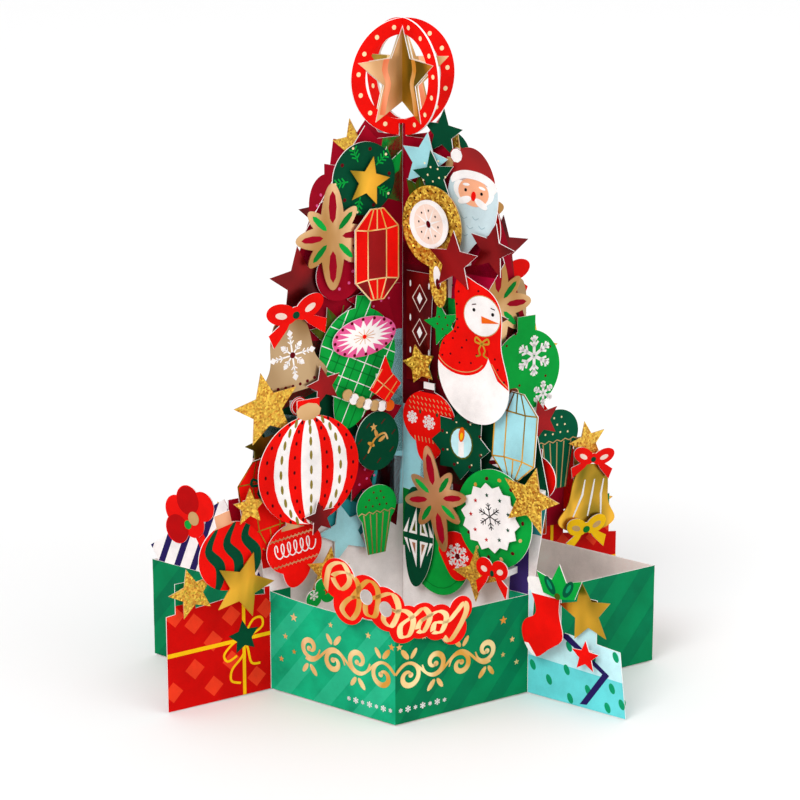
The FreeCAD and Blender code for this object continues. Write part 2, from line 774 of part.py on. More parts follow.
LEFT_REAR_PIECES = [
    ("glitter_stars", star(10.0), 1, 21.0, 190.0, 12),
    ("plain_baubles", bauble(10.0, 13.0), 2, 31.0, 166.0, 0),
    ("teal_stars", star(11.0), 1, 35.0, 134.0, 8),
    ("gold_flowers", flower(36.0, 28.0), 1, 41.0, 102.0, 0),
    ("plain_baubles", bauble(8.0, 8.0), 2, 58.0, 80.0, 0),
    ("foil_stars", star(9.0), 1, 54.0, 60.0, 0),
    ("crimson_stars", star(12.0), 2, 34.0, 72.0, 12),
]

BOTH_WAYS = (0, 180)
ONCE = (0,)
DRESSING = (
    (LEFT_FRONT, BOTH_WAYS, LEFT_FRONT_PIECES),
    (RIGHT_FRONT, BOTH_WAYS, RIGHT_FRONT_PIECES),
    (RIGHT_FRONT, ONCE, RIGHT_FRONT_ONCE),
    (RIGHT_REAR, BOTH_WAYS, RIGHT_REAR_PIECES),
    (RIGHT_REAR, ONCE, RIGHT_REAR_ONCE),
    (LEFT_REAR, BOTH_WAYS, LEFT_REAR_PIECES),
)
for face, twins, pieces in DRESSING:
    for piece in pieces:
        hang(face, twins, *piece)

half_pad = PAD_SIDE / 2
pad = polygon([
    (-half_pad, -half_pad),
    (half_pad, -half_pad),
    (half_pad, half_pad),
    (-half_pad, half_pad),
])


def foam(x, y, start, end):
    """A foam pad between two cards, given by their distances from the sheet's middle."""
    block = shifted(pad, x, y)
    block.translate(point(0, 0, start))
    return block.extrude(point(0, 0, end - start))


for (heading, _, _), rows in hung.items():
    sheet_outline = LEFT_SHEET if heading > 0 else RIGHT_SHEET
    for name, shape, layer, twins in rows:
        under = [
            (other, depth)
            for _, other, depth, _ in rows
            if depth < layer and boxes_meet(shape, other)
        ]
        x, y, base = pad_spot(shape, under, sheet_outline)
        start = layer_lift(base) + CARD if base else CARD / 2
        card = stand(plate(shape, layer_lift(layer)), heading)
        block = stand(foam(x, y, start, layer_lift(layer)), heading)
        for angle in twins:
            add(name, turned(card, angle))
            add("foam_pads", turned(block, angle))

# The plaque's own pads, low on its loops, between them and the front wall
for index in PADDED_LOOPS:
    along, up, radius = PLAQUE_LOOPS[index]
    side = math.copysign(1, along)
    low = PLAQUE_HEIGHT + up - radius + PAD_SIDE
    nearer = along - side * PLAQUE_STANDOFF * SINE / COSINE
    block = stand(foam(nearer, low, CARD / 2, PLAQUE_STANDOFF - CARD / 2), HALF_ANGLE * side)
    block.translate(FRONT)
    add("foam_pads", block)

os.makedirs("parts", exist_ok=True)
for name, solids in nodes.items():
    shape = solids[0] if len(solids) == 1 else Part.makeCompound(solids)
    shape.exportStep(f"parts/{name}.step")
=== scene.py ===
# %% [markdown]
# # A pop up card
# The card is a low diamond-shaped box with a tree of two slotted sheets in it. The sheets and every
# ornament on them are flat die-cut card, already cut to shape in the frame that is loaded here. What is
# left to make is the print: fields of colour, stripes, dots, gold foil and glitter on the outer faces.
#
# Places and sizes in a drawing are millimetres on the card, measured from the middle of the piece.

import math

import bmesh
import bpy
from mathutils import Matrix, Vector


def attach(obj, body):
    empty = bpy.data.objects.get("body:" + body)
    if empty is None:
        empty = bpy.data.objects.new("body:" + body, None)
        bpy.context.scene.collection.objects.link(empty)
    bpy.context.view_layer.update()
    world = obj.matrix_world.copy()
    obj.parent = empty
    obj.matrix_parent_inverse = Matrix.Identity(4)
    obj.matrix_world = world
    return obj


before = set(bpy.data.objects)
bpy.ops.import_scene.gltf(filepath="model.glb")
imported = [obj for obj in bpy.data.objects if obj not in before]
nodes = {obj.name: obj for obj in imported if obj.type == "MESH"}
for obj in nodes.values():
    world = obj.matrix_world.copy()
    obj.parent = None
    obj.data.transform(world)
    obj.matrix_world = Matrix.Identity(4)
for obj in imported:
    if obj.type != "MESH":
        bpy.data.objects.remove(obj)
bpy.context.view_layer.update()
UP = Vector((0, 0, 1))
MM = 0.001
print("Loaded", len(nodes), "pieces of card")

# %% [markdown]
# ## Colours
# Print inks are easiest to choose as the hex values a designer would name. Blender works with linear light,
# so each hex value is turned into linear numbers first.

# %% Inks
def linear(code):
    """A hex colour as linear red, green and blue."""
    values = [int(code[index:index + 2], 16) / 255 for index in (0, 2, 4)]
    return [value / 12.92 if value <= 0.04045 else ((value + 0.055) / 1.055) ** 2.4 for value in values]


INKS = {
    "white": "f6f1ef",
    # The bare inside of the card is pinker and lighter than its white core: the pink tint is painted warm
    # bounce light, and the extra lightness is painted light for the shaded inner walls.
    "bare": "fff0ea",
    "foam": "f0efec",
    "cream": "f6dfae",
    "beige": "c8a06a",
    "red": "e90f08",
    "gift_red": "cc0805",
    "scarlet": "ea3a1e",
    "deep_red": "b80508",
    "crimson": "9c0620",
    "rose": "c60d3e",
    "pink": "e45a94",
    "blush": "f5d9ca",
    "peach": "f3ac86",
    "maroon": "5c0510",
    "dark_dot": "45060e",
    "orange": "ec6416",
    "yellow": "f8c010",
    "emerald": "14a878",
    "emerald_light": "28b487",
    "pine": "04804f",
    "pine_band": "03734a",
    "bottle": "02583a",
    "forest": "03452c",
    "leaf": "0aa03c",
    "leaf_dark": "047a2c",
    "olive": "4c5412",
    "ochre": "8a7a30",
    "teal": "2f9aa0",
    "sky": "a2dce4",
    "ice": "c2ecf2",
    "frost": "c6d9de",
    "mint": "0c9464",
    "beard_line": "9fbac2",
    "cyan": "66d4d8",
    "navy": "261a58",
    "purple": "3a2a6a",
    "black": "1a1416",
}
print(len(INKS), "plain inks")

# %% [markdown]
# ## What printed card looks like up close
# Matt printed card is never quite flat in colour: the ink lies a little unevenly and the paper has a
# fine tooth. One node group gives both, as a value that darkens the ink and a height for the bump. Foil and
# glitter have groups of their own, because both are seen mainly through how their surface scatters light.

# %% Node group helpers
def new_group(name, inputs, outputs):
    """An empty shader group with its sockets, its two ends and the place on the object."""
    group = bpy.data.node_groups.new(name, "ShaderNodeTree")
    for label, default in inputs.items():
        socket = group.interface.new_socket(label, in_out="INPUT", socket_type="NodeSocketFloat")
        socket.default_value = default
    for label, kind in outputs.items():
        group.interface.new_socket(label, in_out="OUTPUT", socket_type="NodeSocket" + kind)
    start = group.nodes.new("NodeGroupInput")
    end = group.nodes.new("NodeGroupOutput")
    place = group.nodes.new("ShaderNodeTexCoord").outputs["Object"]
    return group, start, end, place


def add_node(tree, kind, links=(), **settings):
    """A node with its settings, and its inputs linked or set by name or number."""
    node = tree.nodes.new("ShaderNode" + kind)
    for label, value in settings.items():
        setattr(node, label, value)
    for label, value in dict(links).items():
        if isinstance(value, bpy.types.NodeSocket):
            tree.links.new(value, node.inputs[label])
        else:
            node.inputs[label].default_value = value
    return node


# %% Paper group
paper_group, start, end, place = new_group(
    "Card print", {"Blotches": 1.0}, {"Tone": "Float", "Height": "Float", "Roughness": "Float"}
)
clouds = add_node(
    paper_group, "TexNoise", {"Vector": place, "Scale": 75.0, "Detail": 4.0, "Roughness": 0.6}
)
grain = add_node(paper_group, "TexNoise", {"Vector": place, "Scale": 2600.0, "Detail": 2.0})
spread = add_node(
    paper_group, "MapRange",
    {"Value": clouds.outputs["Fac"], "From Min": 0.3, "From Max": 0.7, "To Min": -0.16, "To Max": 0.12},
)
strength = add_node(
    paper_group, "Math", {0: spread.outputs["Result"], 1: start.outputs["Blotches"]}, operation="MULTIPLY"
)
speckle = add_node(
    paper_group, "MapRange",
    {"Value": grain.outputs["Fac"], "From Min": 0.3, "From Max": 0.7, "To Min": 0.97, "To Max": 1.03},
)
tone = add_node(
    paper_group, "Math", {0: strength.outputs[0], 1: speckle.outputs["Result"]}, operation="ADD"
)
rough = add_node(paper_group, "MapRange", {"Value": clouds.outputs["Fac"], "To Min": 0.5, "To Max": 0.68})
for label, socket in (
    ("Tone", tone.outputs[0]), ("Height", grain.outputs["Fac"]), ("Roughness", rough.outputs["Result"])
):
    paper_group.links.new(socket, end.inputs[label])
print("Paper group has", len(paper_group.nodes), "nodes")

# %% Foil group
foil_group, start, end, place = new_group("Foil", {"Scale": 55.0}, {"Sheen": "Float", "Normal": "Vector"})
stretch = add_node(foil_group, "Mapping", {"Vector": place, "Scale": (1.0, 1.0, 0.55)})
waves = add_node(
    foil_group, "TexNoise",
    {"Vector": stretch.outputs[0], "Scale": start.outputs["Scale"], "Detail": 1.5, "Distortion": 0.6},
)
# The sheen is painted: the waves run the foil's colour between a darker and a lighter tone, as painted
# reflection.
sheen = add_node(
    foil_group, "MapRange", {"Value": waves.outputs["Fac"], "From Min": 0.35, "From Max": 0.66},
)
bend = add_node(
    foil_group, "Bump", {"Height": waves.outputs["Fac"], "Strength": 0.6, "Distance": 0.0012}
)
foil_group.links.new(sheen.outputs["Result"], end.inputs["Sheen"])
foil_group.links.new(bend.outputs[0], end.inputs["Normal"])
print("Foil group has", len(foil_group.nodes), "nodes")

# %% Glitter group
glitter_group, start, end, place = new_group(
    "Glitter", {"Scale": 1500.0}, {"Flake": "Float", "Normal": "Vector"}
)
flakes = add_node(glitter_group, "TexVoronoi", {"Vector": place, "Scale": start.outputs["Scale"]})
parts = add_node(glitter_group, "SeparateColor", {0: flakes.outputs["Color"]})
HALF_GREY = (0.5, 0.5, 0.5)
tilt = add_node(
    glitter_group, "VectorMath", {0: flakes.outputs["Color"], 1: HALF_GREY}, operation="SUBTRACT"
)
scaled = add_node(glitter_group, "VectorMath", {0: tilt.outputs[0], "Scale": 0.7}, operation="SCALE")
facing = add_node(glitter_group, "NewGeometry")
leaning = add_node(
    glitter_group, "VectorMath", {0: scaled.outputs[0], 1: facing.outputs["Normal"]}, operation="ADD"
)
settled = add_node(glitter_group, "VectorMath", {0: leaning.outputs[0]}, operation="NORMALIZE")
glitter_group.links.new(parts.outputs[0], end.inputs["Flake"])
glitter_group.links.new(settled.outputs[0], end.inputs["Normal"])
print("Glitter group has", len(glitter_group.nodes), "nodes")

# %% [markdown]
# ## Materials
# Each finish is one small function. Plain print is matt, foil is a rough metal whose colour runs between
# two tones as a painted sheen, and glitter is a metal with a new tilt in every flake.

# %% Finishes
# Where a colour mix node keeps its two colours and its result
MIX_LOW = 6
MIX_HIGH = 7
MIX_RESULT = 2


def blank(name):
    """A new material with its tree and its shader."""
    material = bpy.data.materials.new(name)
    material.use_nodes = True
    tree = material.node_tree
    return material, tree, tree.nodes["Principled BSDF"]


def use_group(tree, group, **inputs):
    node = tree.nodes.new("ShaderNodeGroup")
    node.node_tree = group
    for label, value in inputs.items():
        node.inputs[label].default_value = value
    return node


def printed(name, code, blotches=1.0):
    """Ink on matt card."""
    material, tree, shader = blank(name)
    paper = use_group(tree, paper_group, Blotches=blotches)
    ink = add_node(
        tree, "VectorMath", {0: linear(code), "Scale": paper.outputs["Tone"]}, operation="SCALE"
    )
    tooth = add_node(
        tree, "Bump", {"Height": paper.outputs["Height"], "Strength": 0.12, "Distance": 0.00005}
    )
    tree.links.new(ink.outputs[0], shader.inputs["Base Color"])
    tree.links.new(paper.outputs["Roughness"], shader.inputs["Roughness"])
    tree.links.new(tooth.outputs[0], shader.inputs["Normal"])
    shader.inputs["Specular IOR Level"].default_value = 0.04
    return material


def foil(name, low, high, scale=55.0, roughness=0.3, metallic=1.0):
    """Hot-stamped foil: smooth metal with slow waves, whose colour runs between a darker and a lighter tone
    as a painted sheen.
    """
    material, tree, shader = blank(name)
    sheet = use_group(tree, foil_group, Scale=scale)
    colour = add_node(tree, "Mix", {"Factor": sheet.outputs["Sheen"]}, data_type="RGBA")
    colour.inputs[MIX_LOW].default_value = (*linear(low), 1)
    colour.inputs[MIX_HIGH].default_value = (*linear(high), 1)
    tree.links.new(colour.outputs[MIX_RESULT], shader.inputs["Base Color"])
    tree.links.new(sheet.outputs["Normal"], shader.inputs["Normal"])
    shader.inputs["Metallic"].default_value = metallic
    shader.inputs["Roughness"].default_value = roughness
    return material


def glitter(name, low, high):
    """Coarse flakes, each with its own tilt and tone."""
    material, tree, shader = blank(name)
    flakes = use_group(tree, glitter_group)
    ramp = add_node(tree, "ValToRGB", {"Fac": flakes.outputs["Flake"]})
    ramp.color_ramp.elements[0].color = (*linear(low), 1)
    ramp.color_ramp.elements[1].color = (*linear(high), 1)
    tree.links.new(ramp.outputs[0], shader.inputs["Base Color"])
    tree.links.new(flakes.outputs["Normal"], shader.inputs["Normal"])
    shader.inputs["Metallic"].default_value = 0.55
    shader.inputs["Roughness"].default_value = 0.34
    return material


# %% Mix the finishes
finishes = {name: printed("print " + name, code) for name, code in INKS.items()}
# The emerald wash, with stronger blotches, is the lighter green of the front wall's half that faces left,
# as painted light.
finishes["emerald"] = printed("print emerald wash", INKS["emerald"], 2.0)
finishes["gold"] = foil("gold foil", "b08046", "f2c794", metallic=0.8)
finishes["bright_gold"] = foil("bright gold foil", "dd9c34", "ffe2a4", 90.0, 0.4, 0.5)
finishes["old_gold"] = foil("old gold foil", "6e620c", "f6b838", 60.0, 0.32, 0.85)
finishes["dull_gold"] = foil("dull gold foil", "866236", "c0a078", metallic=0.8)
finishes["copper"] = foil("rose gold foil", "b0603a", "f0b48c", 70.0)
finishes["orange_foil"] = foil("orange foil", "e2622c", "ffb384", 90.0, 0.4, 0.5)
finishes["red_foil"] = foil("red foil", "900004", "ee0a08", 45.0, 0.45, 0.35)
finishes["maroon_foil"] = foil("maroon foil", "480104", "a0060c", 60.0, 0.34, 0.7)
finishes["glitter"] = glitter("gold glitter", "b8700c", "ffd650")
print(len(finishes), "finishes")

# %% [markdown]
# ## Finding the flat sides
# The frame's pieces are thin plates. To print on one, each flat side is found and given its own axes:
# right, up and straight out, in millimetres. The outer side looks away from the middle of the card.

# %% Panels
# How alike two faces of one side are, how far out a side faces outward, and what is too level or too small
SAME_WAY = 0.9995
SAME_PLANE = 0.02 * MM
INNERMOST = 0.1 * MM
LEVEL_SLOPE = 0.3
SPECK = 1e-12
LEAST_AREA = 20.0


class Panel:
    """One flat side of a card, with its triangles in its own right and up axes, in millimetres."""

    def __init__(self, normal, distance):
        self.normal = normal
        self.right = UP.cross(normal).normalized()
        self.distance = distance
        self.triangles = []
        self.polygons = []
        self.area = 0.0

    def take(self, face, source):
        self.triangles.append([(v.co.dot(self.right) / MM, v.co.z / MM) for v in face.verts])
        self.polygons.append(source)
        self.area += face.calc_area() / MM / MM

    def matches(self, normal, distance):
        return self.normal.dot(normal) > SAME_WAY and abs(self.distance - distance) < SAME_PLANE

    def outer(self):
        return self.distance > INNERMOST

    def box(self, lean=0.0):
        """Its middle and half sizes, measured square to its own lean."""
        turn = Matrix.Rotation(math.radians(lean), 2)
        back = turn.inverted()
        spots = [back @ Vector(corner) for triangle in self.triangles for corner in triangle]
        low = Vector([min(spot[axis] for spot in spots) for axis in (0, 1)])
        high = Vector([max(spot[axis] for spot in spots) for axis in (0, 1)])
        return turn @ ((low + high) / 2), (high - low) / 2

    def world(self):
        """From millimetres on the panel to metres in the frame."""
        axes = Matrix((self.right, UP, self.normal)).transposed().to_4x4()
        return Matrix.Translation(self.normal * self.distance) @ axes @ Matrix.Diagonal((MM, MM, MM, 1))


def islands(mesh):
    """The faces of each separate solid, in the mesh's own order, so that each run finds them alike."""
    seen = set()
    for first in mesh.faces:
        if first in seen:
            continue
        seen.add(first)
        stack = [first]
        found = []
        while stack:
            face = stack.pop()
            found.append(face)
            for edge in face.edges:
                for other in edge.link_faces:
                    if other not in seen:
                        seen.add(other)
                        stack.append(other)
        yield found


def find_panels(node):
    """The larger upright flat sides of all the solids in a node."""
    mesh = bmesh.new()
    mesh.from_mesh(node.data)
    source = mesh.faces.layers.int.new("source")
    for face in mesh.faces:
        face[source] = face.index
    bmesh.ops.remove_doubles(mesh, verts=mesh.verts, dist=0.001 * MM)
    panels = []
    for faces in islands(mesh):
        local = []
        for face in faces:
            if abs(face.normal.z) > LEVEL_SLOPE or face.calc_area() < SPECK:
                continue
            distance = face.verts[0].co.dot(face.normal)
            panel = next((p for p in local if p.matches(face.normal, distance)), None)
            if panel is None:
                panel = Panel(face.normal.copy(), distance)
                local.append(panel)
            panel.take(face, face[source])
        panels += [panel for panel in local if panel.area > LEAST_AREA]
    mesh.free()
    return panels


panels = {name: find_panels(node) for name, node in nodes.items()}
print("Flat sides:", sum(len(found) for found in panels.values()))

# %% [markdown]
# ## Inking the card itself
# Card is printed on its outer side and bare on its inner side and along the cut edges, where the white core
# shows. Each face of a plate is sorted into one of the three.

# %% Dress a piece
def dress(name, front, back="bare", edge="white"):
    """Gives a node its ink in front, its back and its cut edges. The front may be chosen per panel."""
    mesh = nodes[name].data
    mesh.materials.clear()
    used = [edge, back]
    numbers = [0] * len(mesh.polygons)
    for panel in panels[name]:
        ink = back
        if panel.outer():
            ink = front(panel) if callable(front) else front
        if ink not in used:
            used.append(ink)
        for index in panel.polygons:
            numbers[index] = used.index(ink)
    for ink in used:
        mesh.materials.append(finishes[ink])
    mesh.polygons.foreach_set("material_index", numbers)


def height_of(panel):
    return panel.box()[0].y


def near_height(height, reach=3):
    """Picks the panels whose middle is about that high."""
    return lambda panel: abs(height_of(panel) - height) < reach


def faces_left(panel):
    return panel.normal.x < 0


# %% [markdown]
# ## Drawing
# A printed mark is a shape a few hundredths of a millimetre thick that sits on the card. The drawing board
# works flat, in millimetres, and lifts everything to the panel at the end. Shapes that run off the card's
# edge are cut with bisect_plane, so that they stop exactly at the outline.

# %% Drawing board
# How thick a layer of ink is, how deep it starts in the card, and how far a stripe runs
INK_STEP = 0.045
INK_SINK = 0.02
STRIPE_REACH = 60.0


class Board:
    """Collects thin printed shapes on one panel, about a place and a lean on it."""

    def __init__(self, panel, lean=0.0, origin=(0.0, 0.0), fixed=None):
        self.panel = panel
        self.mesh = bmesh.new()
        self.level = self.mesh.faces.layers.int.new("level")
        self.inks = []
        middle, half = panel.box(lean)
        if fixed is not None:
            middle = Vector(fixed(panel) if callable(fixed) else fixed)
        self.half = half
        turn = Matrix.Rotation(math.radians(lean), 4, "Z")
        back = Matrix.Translation((-origin[0], -origin[1], 0))
        self.place = Matrix.Translation((*middle, 0)) @ turn @ back
        self.region = None

    def _keep(self, faces, ink, level):
        if ink not in self.inks:
            self.inks.append(ink)
        for face in faces:
            face.material_index = self.inks.index(ink)
            face[self.level] = level

    def oval(self, x, y, wide, high, ink, level=1, turn=0.0, sides=16, tips=0, waist=1.0):
        """A disc, an oval or, with tips, a star."""
        count = 2 * tips if tips else sides
        shift = Matrix.Translation((x, y, 0)) @ Matrix.Rotation(math.radians(turn), 4, "Z")
        made = bmesh.ops.create_circle(self.mesh, cap_ends=True, segments=count, radius=1.0)["verts"]
        for vertex in made[1::2] if tips else ():
            vertex.co *= waist
        scale = Matrix.Diagonal((wide, high, 1, 1))
        bmesh.ops.transform(self.mesh, matrix=self.place @ shift @ scale, verts=made)
        self._keep({face for vertex in made for face in vertex.link_faces}, ink, level)

    def dot(self, x, y, radius, ink, level=1, sides=12):
        self.oval(x, y, radius, radius, ink, level, sides=sides)

    def dots(self, spots, radius, ink, level=1, sides=8):
        for x, y in spots:
            self.dot(x, y, radius, ink, level, sides)

    def star(self, x, y, radius, ink, level=1, waist=0.45, turn=0.0):
        self.oval(x, y, radius, radius, ink, level, turn, tips=5, waist=waist)

    def shape(self, corners, ink, level=1):
        """A shape with straight sides."""
        points = [self.mesh.verts.new(self.place @ Vector((x, y, 0))) for x, y in corners]
        self._keep([self.mesh.faces.new(points)], ink, level)

    def line(self, spots, width, ink, level=1, closed=False, clip=False):
        """A band of even width, or of the widths given, along a run of points."""
        spots = [Vector(spot) for spot in spots]
        count = len(spots)
        widths = width if isinstance(width, (list, tuple)) else [width] * count
        left, right = [], []
        for index, spot in enumerate(spots):
            before = spots[index - 1] if index or closed else spot
            after = spots[(index + 1) % count] if index + 1 < count or closed else spot
            along = (after - before).normalized()
            aside = Vector((-along.y, along.x)) * widths[index] / 2
            left.append(spot + aside)
            right.append(spot - aside)
        runs = range(count if closed else count - 1)
        if clip:
            for index in runs:
                after = (index + 1) % count
                self.field((right[index], right[after], left[after], left[index]), ink, level)
            return
        sides = [
            [self.mesh.verts.new(self.place @ spot.to_3d()) for spot in side] for side in (left, right)
        ]
        faces = []
        for index in runs:
            after = (index + 1) % count
            corners = (sides[1][index], sides[1][after], sides[0][after], sides[0][index])
            faces.append(self.mesh.faces.new(corners))
        self._keep(faces, ink, level)

    def field(self, corners, ink, level=1):
        """A convex shape, cut off where the card ends."""
        if self.region is None:
            self.region = bmesh.new()
            for triangle in self.panel.triangles:
                self.region.faces.new([self.region.verts.new((x, y, 0)) for x, y in triangle])
            bmesh.ops.remove_doubles(self.region, verts=self.region.verts, dist=0.001)
        cut = self.region.copy()
        spots = [self.place @ Vector((x, y, 0)) for x, y in corners]
        area = sum(a.cross(b).z for a, b in zip(spots, spots[1:] + spots[:1]))
        for spot, following in zip(spots, spots[1:] + spots[:1]):
            outward = (following - spot).cross(UP) * (1 if area > 0 else -1)
            if outward.length > 1e-6:
                geometry = cut.verts[:] + cut.edges[:] + cut.faces[:]
                bmesh.ops.bisect_plane(
                    cut, geom=geometry, dist=1e-5, plane_co=spot, plane_no=outward, clear_outer=True
                )
        copies = {vertex: self.mesh.verts.new(vertex.co) for vertex in cut.verts if vertex.link_faces}
        faces = [self.mesh.faces.new([copies[vertex] for vertex in face.verts]) for face in cut.faces]
        self._keep(faces, ink, level)
        cut.free()

    def stripes(self, angle, offsets, width, ink):
        """Straight stripes right across the card, at distances from its middle."""
        along = Vector((math.cos(math.radians(angle)), math.sin(math.radians(angle))))
        aside = Vector((-along.y, along.x))
        ends = along * STRIPE_REACH
        for offset in offsets:
            low, high = aside * (offset - width / 2), aside * (offset + width / 2)
            self.field((low - ends, low + ends, high + ends, high - ends), ink)

    def flake(self, x, y, radius, ink, level=1, arms=6, width=0.9):
        """A snowflake: arms with two pairs of barbs."""
        for arm in range(arms):
            angle = math.radians(90 + 360 * arm / arms)
            out = Vector((math.cos(angle), math.sin(angle)))
            aside = Vector((-out.y, out.x))
            middle = Vector((x, y))
            self.line((middle + out * width * 0.3, middle + out * radius), width, ink, level)
            for share, barb in ((0.45, 0.3), (0.72, 0.24)):
                for side in (-1, 1):
                    root = middle + out * radius * share
                    tip = root + (out + aside * side) * radius * barb * 0.8
                    self.line((root, tip), width * 0.7, ink, level)

    def finish(self, into, numbers):
        """Thickens the shapes, lifts them to the panel and adds them to the piece's mesh."""
        if self.region is not None:
            self.region.free()
        made = bmesh.ops.extrude_face_region(self.mesh, geom=self.mesh.faces[:])["geom"]
        tops = {item for item in made if isinstance(item, bmesh.types.BMFace)}
        for vertex in self.mesh.verts:
            vertex.co.z = -INK_SINK
        for face in tops:
            for vertex in face.verts:
                vertex.co.z = face[self.level] * INK_STEP
        for face in self.mesh.faces:
            face.material_index = numbers[self.inks[face.material_index]]
        bmesh.ops.recalc_face_normals(self.mesh, faces=self.mesh.faces)
        bmesh.ops.transform(self.mesh, matrix=self.panel.world(), verts=self.mesh.verts)
        carrier = bpy.data.meshes.new("carrier")
        self.mesh.to_mesh(carrier)
        into.from_mesh(carrier)
        bpy.data.meshes.remove(carrier)
        self.mesh.free()


# %% Curves and places
def smooth(spots, closed=False, steps=6):
    """Points along a smooth curve through a few spots."""
    spots = [Vector(spot) for spot in spots]
    count = len(spots)
    found = []
    for index in range(count if closed else count - 1):
        numbers = [index + shift for shift in (-1, 0, 1, 2)]
        near = [spots[number % count if closed else min(max(number, 0), count - 1)] for number in numbers]
        for step in range(steps):
            t = step / steps
            found.append(0.5 * (
                2 * near[1] + (near[2] - near[0]) * t
                + (2 * near[0] - 5 * near[1] + 4 * near[2] - near[3]) * t * t
                + (3 * near[1] - near[0] - 3 * near[2] + near[3]) * t * t * t
            ))
    if not closed:
        found.append(spots[-1])
    return found


def around(count, radius, start=90.0, x=0.0, y=0.0, wide=1.0):
    """Places spaced evenly round a circle or, with wide, an oval."""
    angles = [math.radians(start + 360 * index / count) for index in range(count)]
    return [(x + radius * wide * math.cos(angle), y + radius * math.sin(angle)) for angle in angles]


# %% Print on a piece
printed_pieces = []


def print_on(name, draw, chosen=None, lean=0.0, **board):
    """Prints on the outer panels of a node and makes one object of it. The lean may be chosen per panel."""
    boards = []
    for panel in panels[name]:
        if panel.outer() and (chosen is None or chosen(panel)):
            turn = lean(panel) if callable(lean) else lean
            drawn = Board(panel, turn, **board)
            draw(drawn)
            boards.append(drawn)
    used = sorted({ink for drawn in boards for ink in drawn.inks})
    mesh = bmesh.new()
    for drawn in boards:
        drawn.finish(mesh, {ink: used.index(ink) for ink in used})
    count = sum(piece.startswith(name + "_print") for piece in printed_pieces)
    label = name + "_print" + (f"_{count + 1}" if count else "")
    data = bpy.data.meshes.new(label)
    mesh.to_mesh(data)
    mesh.free()
    for ink in used:
        data.materials.append(finishes[ink])
    piece = bpy.data.objects.new(label, data)
    bpy.context.scene.collection.objects.link(piece)
    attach(piece, "root")
    printed_pieces.append(label)
    print(label, "has", len(data.polygons), "faces")


STAR_PITCH = 360 / 5


def star_lean(panel):
    """How far a star leans, read from its farthest corner."""
    corners = [Vector(corner) for triangle in panel.triangles for corner in triangle]
    middle, _ = panel.box()
    far = max(corners, key=lambda corner: (corner - middle).length)
    angle = math.degrees(math.atan2(far.y - middle.y, far.x - middle.x)) - 90
    return (angle + STAR_PITCH / 2) % STAR_PITCH - STAR_PITCH / 2


# %% [markdown]
# ## The card's own colours
# First every node gets its ink. Nodes that hold pieces of more than one colour pick it by where a piece is.

# %% Dress every node
# Heights on the card, and an area, that tell the panels of one node apart
LEAF_STAR = near_height(131)
CONE_BREAK = 62
BAUBLE_BREAK = 90
WALL_AREA = 1000.0
plain_fronts = {
    # The front wall's half that faces left is printed a lighter green than its half that faces right:
    # painted light and shade from the key light on the left.
    "front_wall": lambda panel: "emerald" if faces_left(panel) else "pine",
    "right_wall": "pine", "back_wall": "pine", "left_wall": "pine",
    "tree_sheet_left": "white", "tree_sheet_right": "white",
    "topper_discs": "red",
    # The topper star's halves take a darker old gold on the half facing left and a brighter gold on the
    # half facing right: lit and shaded copies of one foil, painted shade on one half and painted light on
    # the other.
    "topper_stars": lambda panel: "old_gold" if faces_left(panel) else "gold",
    "scroll_plaque": "red", "corner_gift": "white", "petal_bow": "red",
    "crimson_stars": lambda panel: "red" if height_of(panel) < 30 else "crimson",
    "dark_stars": "forest", "maroon_stars": "maroon_foil", "foil_stars": "old_gold",
    "glitter_stars": "glitter", "slim_stars": "glitter", "pale_star": "sky",
    "teal_stars": lambda panel: "leaf" if LEAF_STAR(panel) else "sky",
    "plain_baubles": lambda panel: "sky" if height_of(panel) < BAUBLE_BREAK else "crimson",
    "crimson_panels": "crimson", "wreath_disc": "forest", "gold_flowers": "gold",
    "red_lantern": "red", "crimson_lantern": "red", "crystal_lantern": "sky",
    "gold_finial": "glitter", "petal_ovals": "white", "father_christmas": "frost",
    "holly_sprigs": "olive", "nordic_panel": "maroon_foil", "candy_canes": "white",
    "snowman": "white", "nordic_bauble": "red", "candle_wreath": "forest",
    "green_bauble": "leaf", "mitten": "red", "harlequin_drop": "forest",
    "snow_wreath": "leaf", "snow_patch": "white", "red_bows": "red", "stocking": "red",
    "leaf_sprig": "leaf", "snowflake_bauble": "leaf",
    "green_cone": lambda panel: "leaf" if height_of(panel) < CONE_BREAK else "bottle",
    "white_bell": "old_gold", "gold_bell": "dull_gold", "plaid_bauble": "leaf",
    "starburst_oval": "pink", "argyle_diamond": "red", "bead_garlands": "gold",
    "striped_bauble": "red", "round_bauble": "forest", "red_balls": "red",
    "curly_bauble": "red", "swirl_bauble": "red", "holly_balls": "leaf",
    "top_leaves": "leaf", "foam_pads": "foam", "yellow_bow": "yellow",
}
BACKS = {
    "topper_discs": "rose", "topper_stars": "cream", "father_christmas": "crimson", "snowman": "crimson",
    "crystal_lantern": "forest", "foam_pads": "foam", "snow_patch": "leaf", "petal_ovals": "crimson",
    "snow_wreath": "forest", "striped_bauble": "crimson", "starburst_oval": "crimson",
    "teal_stars": "gold", "plain_baubles": "red",
}
FOILED_EDGES = {"gold": "gold", "old_gold": "old_gold", "glitter": "gold", "dull_gold": "dull_gold"}
# The inner sides of these pieces take the bare ink, which carries painted bounce light and painted light.
BARE_INSIDE = ("front_wall", "right_wall", "back_wall", "left_wall", "corner_gift", "scroll_plaque")
for name in nodes:
    front = plain_fronts[name]
    same = front if isinstance(front, str) and front != "white" else "crimson"
    back = "bare" if name in BARE_INSIDE else BACKS.get(name, same)
    edge = "foam" if name == "foam_pads" else FOILED_EDGES.get(front, "white")
    dress(name, front, back, edge)
print("Dressed", len(nodes), "nodes")

